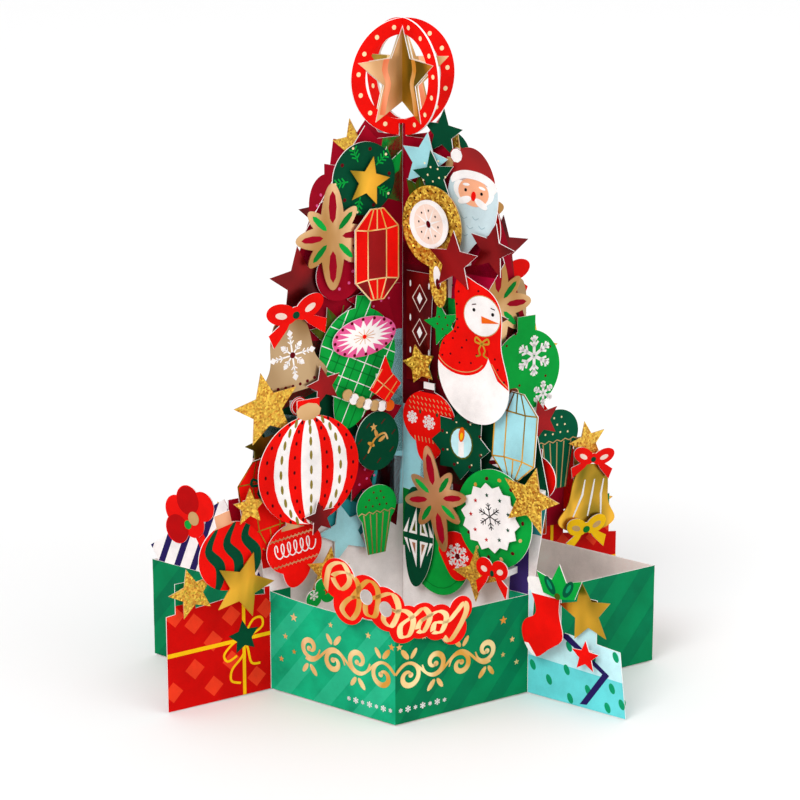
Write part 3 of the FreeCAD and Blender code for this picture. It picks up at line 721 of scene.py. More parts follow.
# %% [markdown]
# ## Box
# The walls are printed green with broad slanted bands, a little darker or lighter than the ground. The
# front wall's half that faces left is a lighter green than its half that faces right, as painted light and
# shade. On the front wall a gold vine runs along both halves with small stars round it.

# %% Bands and pen lines
def bands(board, ink):
    board.stripes(50.0, [-50 + 14.0 * index for index in range(9)], 6.0, ink)


def pen_line(board, spots, thin, thick, ink, level=2, steps=8):
    """A stroke that is thick where the pen goes up or down and thin where it goes across."""
    path = smooth(spots, steps=steps)
    widths = []
    for index in range(len(path)):
        step = path[min(index + 1, len(path) - 1)] - path[max(index - 1, 0)]
        widths.append(thin + (thick - thin) * abs(step.y) / max(step.length, 0.001))
    board.line(path, widths, ink, level, clip=True)


def swelling(count, thin, more):
    """Widths of a line that starts and ends thin."""
    return [thin + more * math.sin(math.pi * index / (count - 1)) for index in range(count)]


# %% Vine
VINE_WAVE = 11.0
VINE_SWING = 3.4
CURL_TURNS = 1.35
CURL_STEPS = 14
CURL_CLOSING = 0.82


def spiral(x, y, radius, start, hand):
    """Places from the outside of a curl to its eye."""
    found = []
    for index in range(CURL_STEPS + 1):
        share = index / CURL_STEPS
        angle = math.radians(start) + hand * math.tau * CURL_TURNS * share
        reach = radius * (1 - CURL_CLOSING * share)
        found.append((x + reach * math.cos(angle), y + reach * math.sin(angle)))
    return found


def flourish(board, side):
    """A gold vine: a waved stem with a curl and two leaves in every hollow."""
    stem = [(x, VINE_SWING * math.sin(math.pi * x / VINE_WAVE)) for x in [1.5 * k for k in range(28)]]
    board.line(smooth([(side * x, y) for x, y in stem], steps=2), 1.0, "bright_gold", 2)
    for index in range(4):
        up = -1 if index % 2 else 1
        x = VINE_WAVE * (index + 0.5)
        curl = spiral(x, -up * 1.6, 5.6 - 0.35 * index, 180 if index else 150, -up)
        curl = [(side * a, b) for a, b in curl]
        path = smooth(curl, steps=3)
        board.line(path, swelling(len(path), 0.5, 1.5), "bright_gold", 3)
        board.dot(*curl[-1], 1.0, "bright_gold", 3)
        board.oval(side * (x - 1.5), up * 6.8, 1.0, 2.5, "bright_gold", 2, turn=side * up * 38, sides=10)
        board.oval(side * (x + 2.2), up * 6.6, 0.9, 2.2, "bright_gold", 2, turn=-side * up * 34, sides=10)


# %% Wall print
# Place and radius of each star, from the middle of the half wall towards its outer end
WALL_STARS = (
    (12, 12, 1.3), (29, 12, 1.1), (46, 11, 1.7), (50, 3, 1.2), (52, -6, 1.2), (46, -2, 1.0), (1.6, 10, 1.4)
)


def front_print(board):
    left = faces_left(board.panel)
    side = -1 if left else 1
    # The bands follow the same painted light and shade: lighter on the half that faces left, darker on the
    # half that faces right.
    bands(board, "emerald_light" if left else "pine_band")
    board.place = board.place @ Matrix.Translation((-side * 28.5, 0, 0))
    flourish(board, side)
    for x, y, radius in WALL_STARS:
        board.star(side * x, y, radius, "bright_gold", 2)
    for index in range(7):
        board.flake(side * (2.2 + 3.1 * index), -13.6, 1.2 if index % 2 else 0.8, "white", 2, width=0.28)


def wall_print(board):
    bands(board, "pine_band")


for name in ("front_wall", "right_wall", "back_wall", "left_wall"):
    draw = front_print if name == "front_wall" else wall_print
    print_on(name, draw, chosen=lambda panel: panel.area > WALL_AREA)

# %% [markdown]
# ## Tree sheets
# The sheets behind the ornaments are printed in fields of crimson, green and pale blue, and stay white low
# down inside the box. Their ends outside the box are printed as wrapped gifts.

# %% Gift ribbon bow
# One loop and one tail of a bow, in shares of its size
BOW_LOOP = ((0, 0), (0.9, 0.75), (1.1, 0.1))
BOW_TAIL = ((0, 0), (0.5, -0.9), (0.3, -1.6), (1, -1.9))


def tied_bow(board, x, y, size, ink, level):
    """Two ribbon loops and two tails."""
    for side in (-1, 1):
        loop, tail = [
            [(x + side * size * a, y + size * b) for a, b in spots] for spots in (BOW_LOOP, BOW_TAIL)
        ]
        board.line(smooth(loop, closed=True), size * 0.26, ink, level, closed=True)
        board.line(smooth(tail), size * 0.24, ink, level)


# %% Sheet fields
FIELDS_LEFT = (
    ("crimson", ((-62, 100), (-0.2, 120), (-0.2, 205), (-30, 205))),
    ("rose", ((-44, 148), (-30, 140), (-24, 168), (-38, 172))),
    ("forest", ((-66, 88), (-0.2, 80), (-0.2, 122), (-50, 128))),
    ("leaf", ((-12, 176), (-0.2, 172), (-0.2, 200), (-8, 200))),
    ("sky", ((-57, 84), (-44, 84), (-44, 100), (-60, 104))),
    ("sky", ((-6, 60), (-0.2, 60), (-0.2, 126), (-5, 126))),
    ("teal", ((-40, 60), (-20, 50), (-4, 62), (-4, 90), (-40, 88))),
    ("red", ((-66, 46), (-46, 46), (-46, 84), (-68, 84))),
    ("leaf_dark", ((-30, 68), (-16, 62), (-12, 76), (-28, 80))),
    ("maroon", ((-14, 60), (-3, 52), (-0.2, 78), (-10, 80))),
)
FIELDS_RIGHT = (
    ("crimson", ((0.2, 150), (50, 150), (40, 205), (0.2, 205))),
    ("maroon", ((0.2, 98), (22, 98), (20, 158), (0.2, 158))),
    ("rose", ((22, 140), (50, 140), (46, 168), (24, 172))),
    ("leaf", ((16, 110), (30, 104), (60, 112), (52, 142), (18, 140))),
    ("forest", ((20, 72), (66, 72), (66, 112), (22, 108))),
    ("sky", ((0.2, 66), (10, 66), (12, 98), (0.2, 98))),
    ("teal", ((26, 60), (66, 60), (66, 76), (30, 78))),
    ("maroon", ((8, 70), (30, 64), (30, 84), (10, 92))),
    ("purple", ((48, 26), (57, 26), (57, 60), (50, 60))),
    ("leaf_dark", ((0.2, 44), (34, 40), (38, 64), (0.2, 66))),
)


def ribbon_loops(board, x, y, side):
    """Two open loops and two long curled tails of narrow ribbon, under a dark star."""
    for spots in (
        ((0, 0), (3.6, 5.6), (7.2, 6.0), (7.6, 2.6), (3.4, 0.4)),
        ((0, 0), (-4.4, -1.6), (-8.2, -5.2), (-6.8, -8.0), (-3.0, -6.6)),
        ((0, -1.0), (-0.4, -6.6), (-5.0, -11.4), (-5.4, -15.6), (-1.6, -17.2)),
        ((0.4, -1.0), (1.6, -5.0), (3.0, -10.4), (6.6, -11.2)),
    ):
        board.line(smooth([(x + side * a, y + b) for a, b in spots]), 0.85, "yellow", 4)
    board.star(x, y, 6.4, "forest", 5, waist=0.5, turn=side * 6)


# %% Gift paper
def block(board, left, right, low, high, ink, level=1):
    """An upright oblong, cut off where the card ends."""
    board.field(((left, low), (right, low), (right, high), (left, high)), ink, level)


DIAMONDS = (
    (0.62, 31), (0.26, 31), (0.44, 23), (0.26, 14), (0.44, 6),
    (0.05, 7), (0.86, 6), (0.96, 31), (0.08, 35), (0.62, 14),
)
DIAMOND = 3.9


def red_gift(board, near, far, top):
    """Red paper with paler diamonds and a yellow ribbon."""
    block(board, near, far, 0, top, "gift_red")
    for x, y in DIAMONDS:
        board.field(around(4, DIAMOND, 180, near + (far - near) * (1 - x), y), "scarlet", 2)
    ribbon = near + (far - near) * 0.26
    block(board, ribbon - 0.65, ribbon + 0.65, 0, top, "yellow", 3)
    board.field(((near, 20.6), (near, 22.0), (far, 21.6), (far, 20.0)), "yellow", 3)
    ribbon_loops(board, ribbon, 22.0, 1 if far < near else -1)


GIFT_LEAVES = (
    (1.2, 21), (4.2, 21.5), (6.6, 20), (8.9, 22), (0.5, 11), (2.2, 7),
    (4.0, 12.5), (4.4, 2.1), (6.2, 7), (8.6, 10), (8.2, 2.4), (9.6, 5),
)


def blue_gift(board, near, far, top):
    """Pale blue paper with a deeper front side, small leaves and a dark ribbon."""
    block(board, near, far, 0, top, "ice")
    board.field(((near, 0), (far, 0), (far * 0.985, 13), (near, 14.5)), "cyan", 2)
    step = (far - near) / 10
    for x, y in GIFT_LEAVES:
        board.oval(near + step * x, y, 1.15, 2.0, "mint", 3, turn=24)
    start = near + step * 3.3
    bend = [(near + step * 8.0 + shift, 14.4) for shift in (-1.6, 1.2)]
    board.field(((start, 28), (start, 25), *bend), "navy", 4)
    board.field((*bend, (near + step * 6.1, 1.4), (near + step * 5.4, 1.0)), "navy", 4)


GIFT_TOP = 39.0
TONGUES_LEFT = (("crimson", 64.0, 75.0, 76.0), ("old_gold", 77.5, 87.0, 76.0), ("pine", 87.5, 97.0, 50.0))
TONGUES_RIGHT = (("red", 62.0, 72.0, 50.0), ("old_gold", 77.5, 87.5, 50.0))


def sheet_print(fields, gifts, tongues):
    """The fields on both sides of a sheet, the tongues that stand on its flaps, and the gifts."""
    def draw(board):
        for ink, corners in fields:
            board.field(corners, ink)
            board.field([(-x, y) for x, y in corners], ink)
        for ink, near, far, top in tongues:
            for side in (-1, 1):
                block(board, side * near, side * far, GIFT_TOP, top, ink)
        for gift, near, far, top in gifts:
            gift(board, near, far, top)
    return draw


for name, fields, gift, tongues in (
    ("tree_sheet_left", FIELDS_LEFT, red_gift, TONGUES_LEFT),
    ("tree_sheet_right", FIELDS_RIGHT, blue_gift, TONGUES_RIGHT),
):
    ends = ((gift, -57.4, -99.5, GIFT_TOP), (gift, 57.4, 99.5, GIFT_TOP))
    print_on(name, sheet_print(fields, ends, tongues), fixed=(0.0, 0.0))

# %% [markdown]
# ## Topper
# Four folded discs stand back to back. Each has a ring of cream dots, and a star of gold foil inside it.

# %% Topper print
def ring_of_dots(board):
    middle, half = board.panel.box()
    for x, y in around(15, 17.8, 102.0):
        if abs(x) > 1.2 and abs(x - middle.x) < half.x - 1.0:
            board.dot(x, y, 0.85, "cream")


print_on("topper_discs", ring_of_dots, fixed=(0.0, 217.0))


def star_sheen(board):
    """Painted highlight streaks of a second foil colour down each half, bright gold on the half facing left
    and orange foil on the half facing right.
    """
    ink = "bright_gold" if faces_left(board.panel) else "orange_foil"
    for side in (-1, 1):
        spots = [(side * x, y) for x, y in ((6.4, 8), (7.6, 3), (6.2, -2), (7.4, -7), (8.6, -13))]
        pen_line(board, spots, 0.6, 2.2, ink, 1, steps=3)


print_on("topper_stars", star_sheen, fixed=(0.0, 217.0))

# %% [markdown]
# ## Plaque
# The die-cut plaque is a run of loops in red card, with a raised line of gold foil along every loop.

# %% Plaque print
PLAQUE_CENTRE = 41.0
LOOPS = (
    (
        (-31, 3), (-29, 12), (-23, 14.5), (-20, 9), (-24, 5), (-27.5, 9), (-22, 11.5), (-16.5, 9), (-16, 0),
        (-19.5, -5), (-23.5, -2), (-19, 3), (-12, 3.5),
    ),
    (
        (-19, 3), (-12, 10.5), (-7.5, 8), (-8.5, -1), (-12.5, -1.5), (-12.5, 3), (-7, 6), (-1, 8),
        (1.5, 2.5), (-1.5, -3.5), (-5, -2), (-3, 2.5), (2, 1.5),
    ),
    (
        (-3, 2.5), (4, 1.5), (7.5, -2.5), (6, -7.5), (2.5, -7.5), (2.5, -3.5), (8, -1), (12, 0.8),
        (14.5, -3), (12, -7.5), (9.5, -6.5), (11, -3.5), (16, -2),
    ),
    (
        (11, -3.5), (18, -1.5), (21.5, -4), (19.5, -9), (16, -8.5), (17, -5.5), (22, -6), (26, -3),
        (29, -0.5), (30, -3.5), (27, -9), (23, -13.2), (20.5, -11.5),
    ),
)


def swash(board):
    """Long curled strokes, thick where the pen goes down and thin where it turns."""
    for spots in LOOPS:
        pen_line(board, spots, 0.7, 2.3, "bright_gold")


def plaque_fold(panel):
    """The plaque's fold, which is the right end of its left half and the left end of its right half."""
    middle, half = panel.box()
    return middle.x + (half.x if faces_left(panel) else -half.x), PLAQUE_CENTRE


print_on("scroll_plaque", swash, fixed=plaque_fold)

# %% [markdown]
# ## Corner gift
# White paper with dark slanted stripes, under a bow of round petals.

# %% Corner gift print
GIFT_LEAN = 34.0


def gift_stripes(board):
    board.stripes(33, [-30.4 + 7.1 * index for index in range(9)], 2.7, "navy")
    board.field(((1.0, 15), (5.4, 15), (4.4, -6), (0.2, -6)), "red", 2)


print_on("corner_gift", gift_stripes, lean=GIFT_LEAN)


def petals(board):
    for index, angle in enumerate((22.0, 71.7, 121.3, 171.0)):
        x, y = 8.4 * math.cos(math.radians(angle)), 8.4 * math.sin(math.radians(angle))
        board.dot(x, y, 5.35, "deep_red" if index % 2 else "red", 1 + index % 2, sides=24)
    board.dot(-2.6, 0.4, 1.7, "leaf", 3)
    board.dot(1.4, 1.2, 2.6, "beige", 4, sides=20)


print_on("petal_bow", petals, lean=GIFT_LEAN, origin=(-0.26, 4.08))

# %% [markdown]
# ## Baubles
# Each bauble has its own pattern. Curved stripes are bounded by half ovals, which is how stripes on a real
# ball look from the front.

# %% Striped bauble
BALL_WIDE = 20.8
BALL_HIGH = 19.9


def on_ball(share, degrees):
    """A place on the ball: how far aside its meridian runs, and how far up it lies."""
    angle = math.radians(degrees)
    return share * BALL_WIDE * math.cos(angle), BALL_HIGH * math.sin(angle)


def meridian(board, left, right, ink):
    """A stripe between two half ovals, like a slice of a ball."""
    rise = [-88 + 176 * step / 12 for step in range(13)]
    corners = [on_ball(right, degrees) for degrees in rise]
    corners += [on_ball(left, degrees) for degrees in rise[::-1]]
    board.shape(corners, ink)


def dashes(board, share, ink, size):
    for degrees in range(-64, 65, 16):
        turn = share * 30 * math.sin(math.radians(degrees))
        board.oval(*on_ball(share, degrees), *size, ink, 2, turn=turn, sides=8)


def striped(board):
    for left, right in ((-0.7, -0.42), (-0.16, 0.25), (0.5, 0.77)):
        meridian(board, left, right, "white")
        dashes(board, (left + right) / 2, "ochre", (0.6, 1.75))
    for share in (-0.86, -0.29, 0.37, 0.89):
        dashes(board, share, "dark_dot", (0.42, 0.7))
    board.oval(0, 21.5, 5.2, 3.2, "gold", 3, sides=9)


print_on("striped_bauble", striped, origin=(0, 2.975))

# %% Swirls, checks and plaid
def swirls(board):
    for shift in (-9.5, -2.0, 5.5):
        wave = ((6.5, 11.5), (1.5, 5), (4.5, -2), (3.0, -8), (0, -12))
        spots = smooth([(shift + x, y) for x, y in wave])
        board.line(spots, swelling(len(spots), 0.8, 3.2), "forest", clip=True)
    board.field(((-4.2, 11.4), (4.2, 11.4), (4.0, 17), (-4.0, 17)), "copper", 2)


print_on("swirl_bauble", swirls, lean=12.0, origin=(0, 1.87))


def plaid(board):
    board.stripes(72, (-11, -3.5, 4, 11.5), 0.35, "white")
    board.stripes(-18, (-14, -6.5, 1, 8.5), 0.35, "white")
    board.stripes(72, (-7, 0.5, 8), 0.4, "leaf_dark")
    board.stripes(-18, (-10, -2.5, 5, 12), 0.4, "leaf_dark")


print_on("plaid_bauble", plaid, lean=-8.0)


def starburst(board):
    board.oval(0, 0, 12.0, 6.4, "white", tips=18, waist=0.55)
    for x, y in around(12, 2.7, wide=1.7):
        board.line(((0, 0), (x, y)), 0.25, "gold", 2)
    board.dot(0, 0, 0.8, "red", 3)
    board.dots(around(16, 6.4, wide=1.94), 0.62, "maroon", 2, sides=6)


print_on("starburst_oval", starburst, lean=5.0)


ARGYLE_LINES = (
    ((-4.6, -5.0), (3.6, 1.6)), ((-4.2, 1.0), (3.6, -5.8)),
    ((-0.2, -7.6), (5.0, -1.4)), ((-5.6, -2.4), (-1.4, 4.0)),
)


def argyle(board):
    for line in ARGYLE_LINES:
        board.line(line, 0.35, "bright_gold", clip=True)


print_on("argyle_diamond", argyle)

# %% Round, curly and nordic baubles
def gold_sprig(board):
    """A curled gold stem with leaves and a star."""
    board.line(smooth([(-4, -4), (-1, 1), (3, 2.5), (4.5, 0)]), [0.4, *[0.75] * 17, 0.4], "bright_gold")
    for x, y, turn in ((-2.6, -0.8, 60), (-0.4, 2.8, 20), (2.0, 0.6, -60)):
        board.oval(x, y, 0.7, 1.7, "bright_gold", turn=turn)
    board.star(-1.5, 5.4, 1.6, "bright_gold")
    for x, y in around(7, 7.4, 70):
        board.line(((x - 0.8, y - 0.8), (x + 0.8, y + 0.8)), 0.35, "maroon")


print_on("round_bauble", gold_sprig)


def loops_and_zigzag(board):
    for y in (4.6, -5.4):
        zigzag = [(-9.6 + 0.8 * k, y + (0.6 if k % 2 else -0.6)) for k in range(25)]
        board.line(zigzag, 0.3, "gold", clip=True)
        board.line(((-11, y), (11, y)), 0.35, "gold", clip=True)
    spots = []
    for k in range(74):
        angle = k * 0.52
        spots.append((-8.2 + 0.22 * k + 1.2 * math.cos(angle), 0.2 + 2.7 * math.sin(angle)))
    board.line(spots, 0.45, "white")
    board.field(((-4.6, 7.4), (4.8, 7.0), (4.0, 14), (-4.0, 14)), "gold", 2)


print_on("curly_bauble", loops_and_zigzag, lean=6.0, origin=(0, -1.2))


def nordic(board):
    for x, y, radius in ((-7.6, -0.6, 2.4), (0, -1.4, 2.8), (7.4, -2.0, 2.2)):
        board.flake(x, y, radius, "white", arms=8, width=0.5)
    stitches = [
        ((-9 + 1.8 * k, 7.6 - 2 * row), (-8.2 + 1.8 * k, 6.6 - 2 * row))
        for row in range(3) for k in range(11)
    ]
    stitches += [((-6.4 + 1.6 * k, -7.2), (-6.0 + 1.6 * k, -9.0)) for k in range(9)]
    for stitch in stitches:
        board.line(stitch, 0.3, "beige", clip=True)
    for x in (-4, 3.6):
        board.oval(x, 2.0, 0.5, 0.8, "forest", sides=8)
    block(board, -3.4, 3.4, 9.6, 11.0, "maroon", 2)
    block(board, -3.4, 3.4, 11.0, 20, "white", 2)


print_on("nordic_bauble", nordic, origin=(0, -1.5))


def snowy(board):
    board.flake(3.6, 2.5, 7.8, "white", width=1.3)
    board.flake(8.0, -12.6, 4.8, "white", arms=6, width=1.0)
    specks = ((-9, 8), (-10, -2), (-3, -8), (9, -6), (11, 5), (-5, 12), (-8, -10), (-1, -12))
    board.dots(specks, 0.5, "maroon")


print_on("snowflake_bauble", snowy)


def faint_rim(board):
    wide, high = board.half.x - 2.6, board.half.y - 2.6
    board.line(around(28, high, wide=wide / high), 0.35, "leaf_dark", closed=True)


print_on("green_bauble", faint_rim)


def bauble_bits(board):
    ink = "teal" if height_of(board.panel) < BAUBLE_BREAK else "pink"
    board.dots(around(8, board.half.x * 0.6, y=-1.2), 0.6, ink)


print_on("plain_baubles", bauble_bits)

# %% [markdown]
# ## Lanterns
# The faceted glass lanterns are drawn with thin gold outlines. The facets that turn away are a darker ink.

# %% Lanterns
def facets(width, height, core, wire, weight):
    """A long faceted glass, with its front and lower side facets in another ink if one is given."""
    side, tip, end, shoulder = width / 2, width * 0.15, height / 2, height * 0.29
    inner, level = side * 0.42, shoulder * 0.92

    def draw(board):
        if core:
            board.shape(((-inner, level), (inner, level), (inner, -level), (-inner, -level)), core)
            for sign in (-1, 1):
                board.shape(((sign * side, -shoulder), (sign * inner, -level), (sign * tip, -end)), core)
        half = [(tip, end), (side, shoulder), (side, -shoulder), (tip, -end)]
        rim = half + [(-x, y) for x, y in half[::-1]]
        board.line([(x * 0.97, y * 0.99) for x, y in rim], weight, wire, 2, closed=True)
        edges = []
        for sign in (-1, 1):
            edges.append(((sign * inner, level), (sign * inner, -level)))
            for up in (-1, 1):
                corner = (sign * inner, up * level)
                edges.append(((sign * side * 0.97, up * shoulder), corner))
                edges.append((corner, (sign * tip * 0.5, up * end * 0.99)))
        for up in (-1, 1):
            edges.append(((-inner, up * level), (inner, up * level)))
            edges.append(((0, up * level), (0, up * end)))
        for edge in edges:
            board.line(edge, weight, wire, 2)

    return draw


print_on("red_lantern", facets(18.5, 33.0, "maroon_foil", "bright_gold", 0.45))
print_on("crystal_lantern", facets(18.5, 32.0, None, "old_gold", 0.5), lean=-4.0)


def tied_lantern(board):
    facets(21.0, 34.0, None, "old_gold", 0.4)(board)
    tied_bow(board, -1.0, 8.0, 3.4, "forest", 3)


print_on("crimson_lantern", tied_lantern, lean=8.0)

# %% [markdown]
# ## Bells, bows and flowers

# %% Bells and bows
def snow_bell(board):
    for spots, tip in ((around(4, 8.0), 1.45), (around(4, 5.0, 45), 1.1)):
        for x, y in spots:
            board.line(((0, 0), (x, y)), 0.6, "white")
            board.oval(x, y, tip, tip * 0.86, "white", 2, turn=math.degrees(math.atan2(y, x)), sides=4)
            for share, reach in ((0.5, 1.5), (0.72, 1.2)):
                for side in (-1, 1):
                    turned = Vector((x, y)).normalized() * reach
                    aside = Vector((-turned.y, turned.x)) * side
                    root = Vector((x, y)) * share
                    board.line((root, root + turned * 0.8 + aside * 0.8), 0.42, "white")
    board.dot(0, 0, 1.1, "maroon", 3)
    places = [-10.6 + 21.2 * index / 7 for index in range(8)]
    board.dots([(x, -11.2 + 0.012 * x * x) for x in places], 0.62, "maroon")


print_on("gold_bell", snow_bell, lean=8.0)


def white_streaks(board):
    for x, slope in ((-3.4, -3.4), (1.2, -1.0), (5.6, 1.0)):
        board.line(((x + 0.6, 7.0), (x, 1.0), (x + slope, -7.5)), (0.5, 1.0, 0.6), "white")


print_on("white_bell", white_streaks, lean=-6.0)

BOW_LEANS = ((137.0, 8.0), (63.0, -10.0), (44.0, 0.0))


def bow_lean(panel):
    return min(BOW_LEANS, key=lambda pair: abs(pair[0] - height_of(panel)))[1]


def knot(ink, knot_size, opening, place, size):
    """A bow's knot and the openings of its loops, as shares of the bow's half sizes."""
    def draw(board):
        wide, high = board.half
        board.oval(0, high * 0.24, wide * knot_size[0], high * knot_size[1], ink, 2)
        for side in (-1, 1):
            spot = (side * wide * place[0], high * place[1])
            board.oval(*spot, wide * size[0], high * size[1], opening, turn=side * 20)
    return draw


print_on("red_bows", knot("forest", (0.12, 0.17), "blush", (0.5, 0.4), (0.2, 0.15)), lean=bow_lean)
print_on("yellow_bow", knot("leaf_dark", (0.17, 0.2), "beige", (0.52, 0.42), (0.22, 0.16)))


LOW_FLOWER = near_height(68, 4)


def flower_lean(panel):
    return 12.0 if LOW_FLOWER(panel) else 0.0


def windows(board):
    tall, wide = board.half.y, board.half.x
    for index in range(8):
        angle = 45.0 * index
        reach = tall if index in (0, 4) else wide if index in (2, 6) else wide * 0.9
        ink = ("crimson", "leaf", "crimson", "leaf_dark")[index % 4]
        out = Matrix.Rotation(math.radians(angle), 2) @ Vector((0, reach * 0.56))
        board.oval(*out, reach * 0.085, reach * 0.3, ink, turn=angle, sides=8)


print_on("gold_flowers", windows, lean=flower_lean)

# %% [markdown]
# ## Wreaths and stars

# %% Wreath disc, dotted stars and small discs
def needle_sprig(board, x, y, turn, size, ink):
    """A fir sprig: a stem with three pairs of needles."""
    shift = Matrix.Translation((x, y, 0)) @ Matrix.Rotation(math.radians(turn), 4, "Z")

    def at(a, b):
        return tuple((shift @ Vector((a * size, b * size, 0))).xy)

    board.line((at(0, -1), at(0, 1)), 0.18 * size, ink)
    for b in (-0.5, 0.05, 0.6):
        for side in (-1, 1):
            board.line((at(0, b), at(side * 0.62, b + 0.45)), 0.2 * size, ink)


def fir_wreath(board):
    for index, (x, y) in enumerate(around(5, 9.3, 112)):
        needle_sprig(board, x, y, 22 + 72 * index, 2.7, "leaf")
    board.dots(around(5, 12.0, 112), 0.5, "cream", 2)
    board.dots(around(5, 10.6, 76), 0.7, "maroon")


print_on("wreath_disc", fir_wreath)


def little_dots(radius, ink, size):
    """Two rings of dots that stay clear of the hollows between a star's arms."""
    def draw(board):
        for ring in (0.28, 0.55):
            board.dots(around(5, radius * ring, 90 + 70 * ring), size, ink, sides=6)
    return draw


for name, radius, ink, size, chosen in (
    ("dark_stars", 9.5, "cream", 0.4, near_height(184)),
    ("teal_stars", 8.5, "maroon", 0.42, LEAF_STAR),
    ("crimson_stars", 11.0, "pink", 0.5, lambda panel: height_of(panel) > 60),
):
    print_on(name, little_dots(radius, ink, size), chosen=chosen, lean=star_lean)


def candle(board):
    board.oval(0, 0, 5.2, 6.0, "olive")
    board.oval(0, 0, 4.6, 5.4, "ice", 2)
    block(board, -1.2, 1.2, -5, 0.6, "white", 3)
    board.oval(0.2, 3.2, 1.3, 2.8, "orange", 4, turn=-8)
    board.oval(0.2, 2.6, 0.6, 1.4, "yellow", 5, turn=-8)
    board.dots(around(8, 9.0, 70), 0.6, "maroon")
    board.dots(around(8, 8.1, 70, x=1.2), 0.35, "cream", sides=6)


print_on("candle_wreath", candle, origin=(-0.4, -0.8))


def berries(board):
    for index, (x, y) in enumerate(around(14, board.half.y * 0.82, 80, wide=0.84)):
        board.oval(x, y, 0.9, 0.7, "maroon" if index % 2 else "bright_gold", turn=index * 40, sides=6)


print_on("snow_wreath", berries)


def snow_dots(board):
    board.flake(0, 0.6, 5.0, "black", width=0.4)
    for x, y in around(9, 8.4):
        board.star(x, y, 0.9, "forest" if x > 0 else "deep_red")


print_on("snow_patch", snow_dots, lean=10.0)


def petal_rays(board):
    board.oval(0, 0, 6.3, 7.2, "blush", sides=24)
    board.oval(0, 0, 6.1, 7.0, "white", 2, tips=8, waist=0.16)
    for x, y in around(8, 4.6, 112):
        board.oval(x * 0.9, y * 1.08, 0.32, 0.42, "black", 3, sides=6)
    board.oval(0, 0, 0.9, 1.3, "maroon", 4)


print_on("petal_ovals", petal_rays, lean=20.0)


def finial_dots(board):
    for x, y in around(20, 12.6, 90, wide=0.86):
        board.oval(x, y, 0.3, 0.55, "dark_dot", turn=40, sides=6)
    board.oval(0, -18.0, 1.6, 4.0, "white", 2)
    board.oval(0, -20.5, 0.9, 2.0, "maroon", 3)


print_on("gold_finial", finial_dots, lean=8.0, origin=(0, -7.2))

# %% [markdown]
# ## Figures and sweets

# %% Snowman
CAPE_DOTS = (
    (-12, 3), (-8, 5.4), (-9, -0.4), (-4, 2.6), (-12.6, -1.4), (-5, -3), (0, -2.4), (2.4, 0.8), (10.4, 0.6),
    (11.6, -3), (14.4, -7.0), (-2, 5.6), (-7, 8), (-5.6, 22.6), (-2, 24.2), (3, 23.9), (-6.4, 18),
    (-6.2, 12.6), (-5.8, 9.6), (-8.2, 24.4),
)
CAPE_END = ((6.5, 3), (14, 7), (17.4, -2), (17.6, -10.6), (11.5, -7.1), (7.5, 0.4))
CAPE_PLACE = {"x": -4.4, "y": 1.4}


def snowman(board):
    block(board, -18, 18, 0.5, 30, "red")
    block(board, -18, 18, -30, 0.5, "white")
    board.field(around(36, 8.8, wide=1.35, **CAPE_PLACE), "red", 2)
    board.field(CAPE_END, "red", 2)
    board.oval(4.7, 15.2, 8.0, 7.4, "beige", 2, sides=32)
    board.oval(4.7, 15.2, 7.7, 7.1, "white", 3, sides=32)
    board.line(around(36, 7.6, wide=1.43, **CAPE_PLACE)[11:25], 0.28, "beige", 3, clip=True)
    board.line(smooth(((9.0, -1.4), (12.4, -6.0), (16.6, -9.2))), 0.28, "beige", 3, clip=True)
    board.dots(CAPE_DOTS, 0.4, "dark_dot", 3)
    for x, y, fall in ((1.2, 17.0, -0.2), (9.3, 16.4, 0.2)):
        board.dot(x, y, 0.66, "black", 4)
        board.line(((x - 0.9, y + 2 + fall), (x + 0.9, y + 2 - fall)), 0.35, "dark_dot", 4)
    board.shape(((4.4, 15.2), (4.6, 12.6), (12.2, 13.6)), "orange", 5)
    tied_bow(board, 4.8, 5.4, 2.6, "old_gold", 5)


print_on("snowman", snowman, origin=(0.9, 2.3))

# %% Father Christmas
def father_christmas(board):
    block(board, -12, 12, 6.4, 22, "red_foil")
    board.dot(-8.5, 14.5, 2.5, "white", 3, sides=9)
    board.oval(0.2, 3.6, 8.8, 5.2, "white", sides=24)
    board.oval(0.2, 3.2, 6.6, 5.0, "peach", 2, sides=24)
    brim = smooth([(-10, 6.0), (-5, 8.6), (1, 9.2), (6, 8.2), (10, 5.6)])
    board.line(brim, 2.9, "white", 4, clip=True)
    for x, turn in ((-3.2, 8), (3.7, -8)):
        board.dot(x, 3.4, 0.6, "black", 3)
        board.oval(x, 5.4, 1.5, 0.5, "white", 3, turn=turn)
    board.oval(0.4, 1.9, 1.0, 1.7, "red", 5)
    for x, turn in ((-3.3, 24), (3.9, -24)):
        board.oval(x, -0.2, 3.0, 1.3, "white", 4, turn=turn)
    for x, y in ((-3, -6), (2, -5.4), (0, -9), (5, -8), (-2, -12), (3, -11.6)):
        board.line(smooth([(x - 1.4, y), (x, y - 0.9), (x + 1.4, y)], steps=3), 0.3, "beard_line")


print_on("father_christmas", father_christmas, lean=-6.0, origin=(-0.2, -1.2))

# %% Stocking, mitten and sweets
def cuff(board):
    block(board, -10, 10, 8.6, 18, "white")
    board.field(((-12, -10.5), (-12, -16), (-1.5, -16), (-5.8, -10.5)), "white")


print_on("stocking", cuff)


def mitten_flake(board):
    board.flake(0.4, 0, 5.0, "white", arms=8, width=0.75)
    board.dot(0.4, 0, 1.2, "maroon", 2)
    board.dots(around(5, 1.3, x=0.4), 0.28, "white", 3, sides=6)


print_on("mitten", mitten_flake)


def cane_stripes(board):
    board.stripes(28, [-16 + 3.1 * index for index in range(12)], 1.5, "maroon")


print_on("candy_canes", cane_stripes, lean=-14.0)


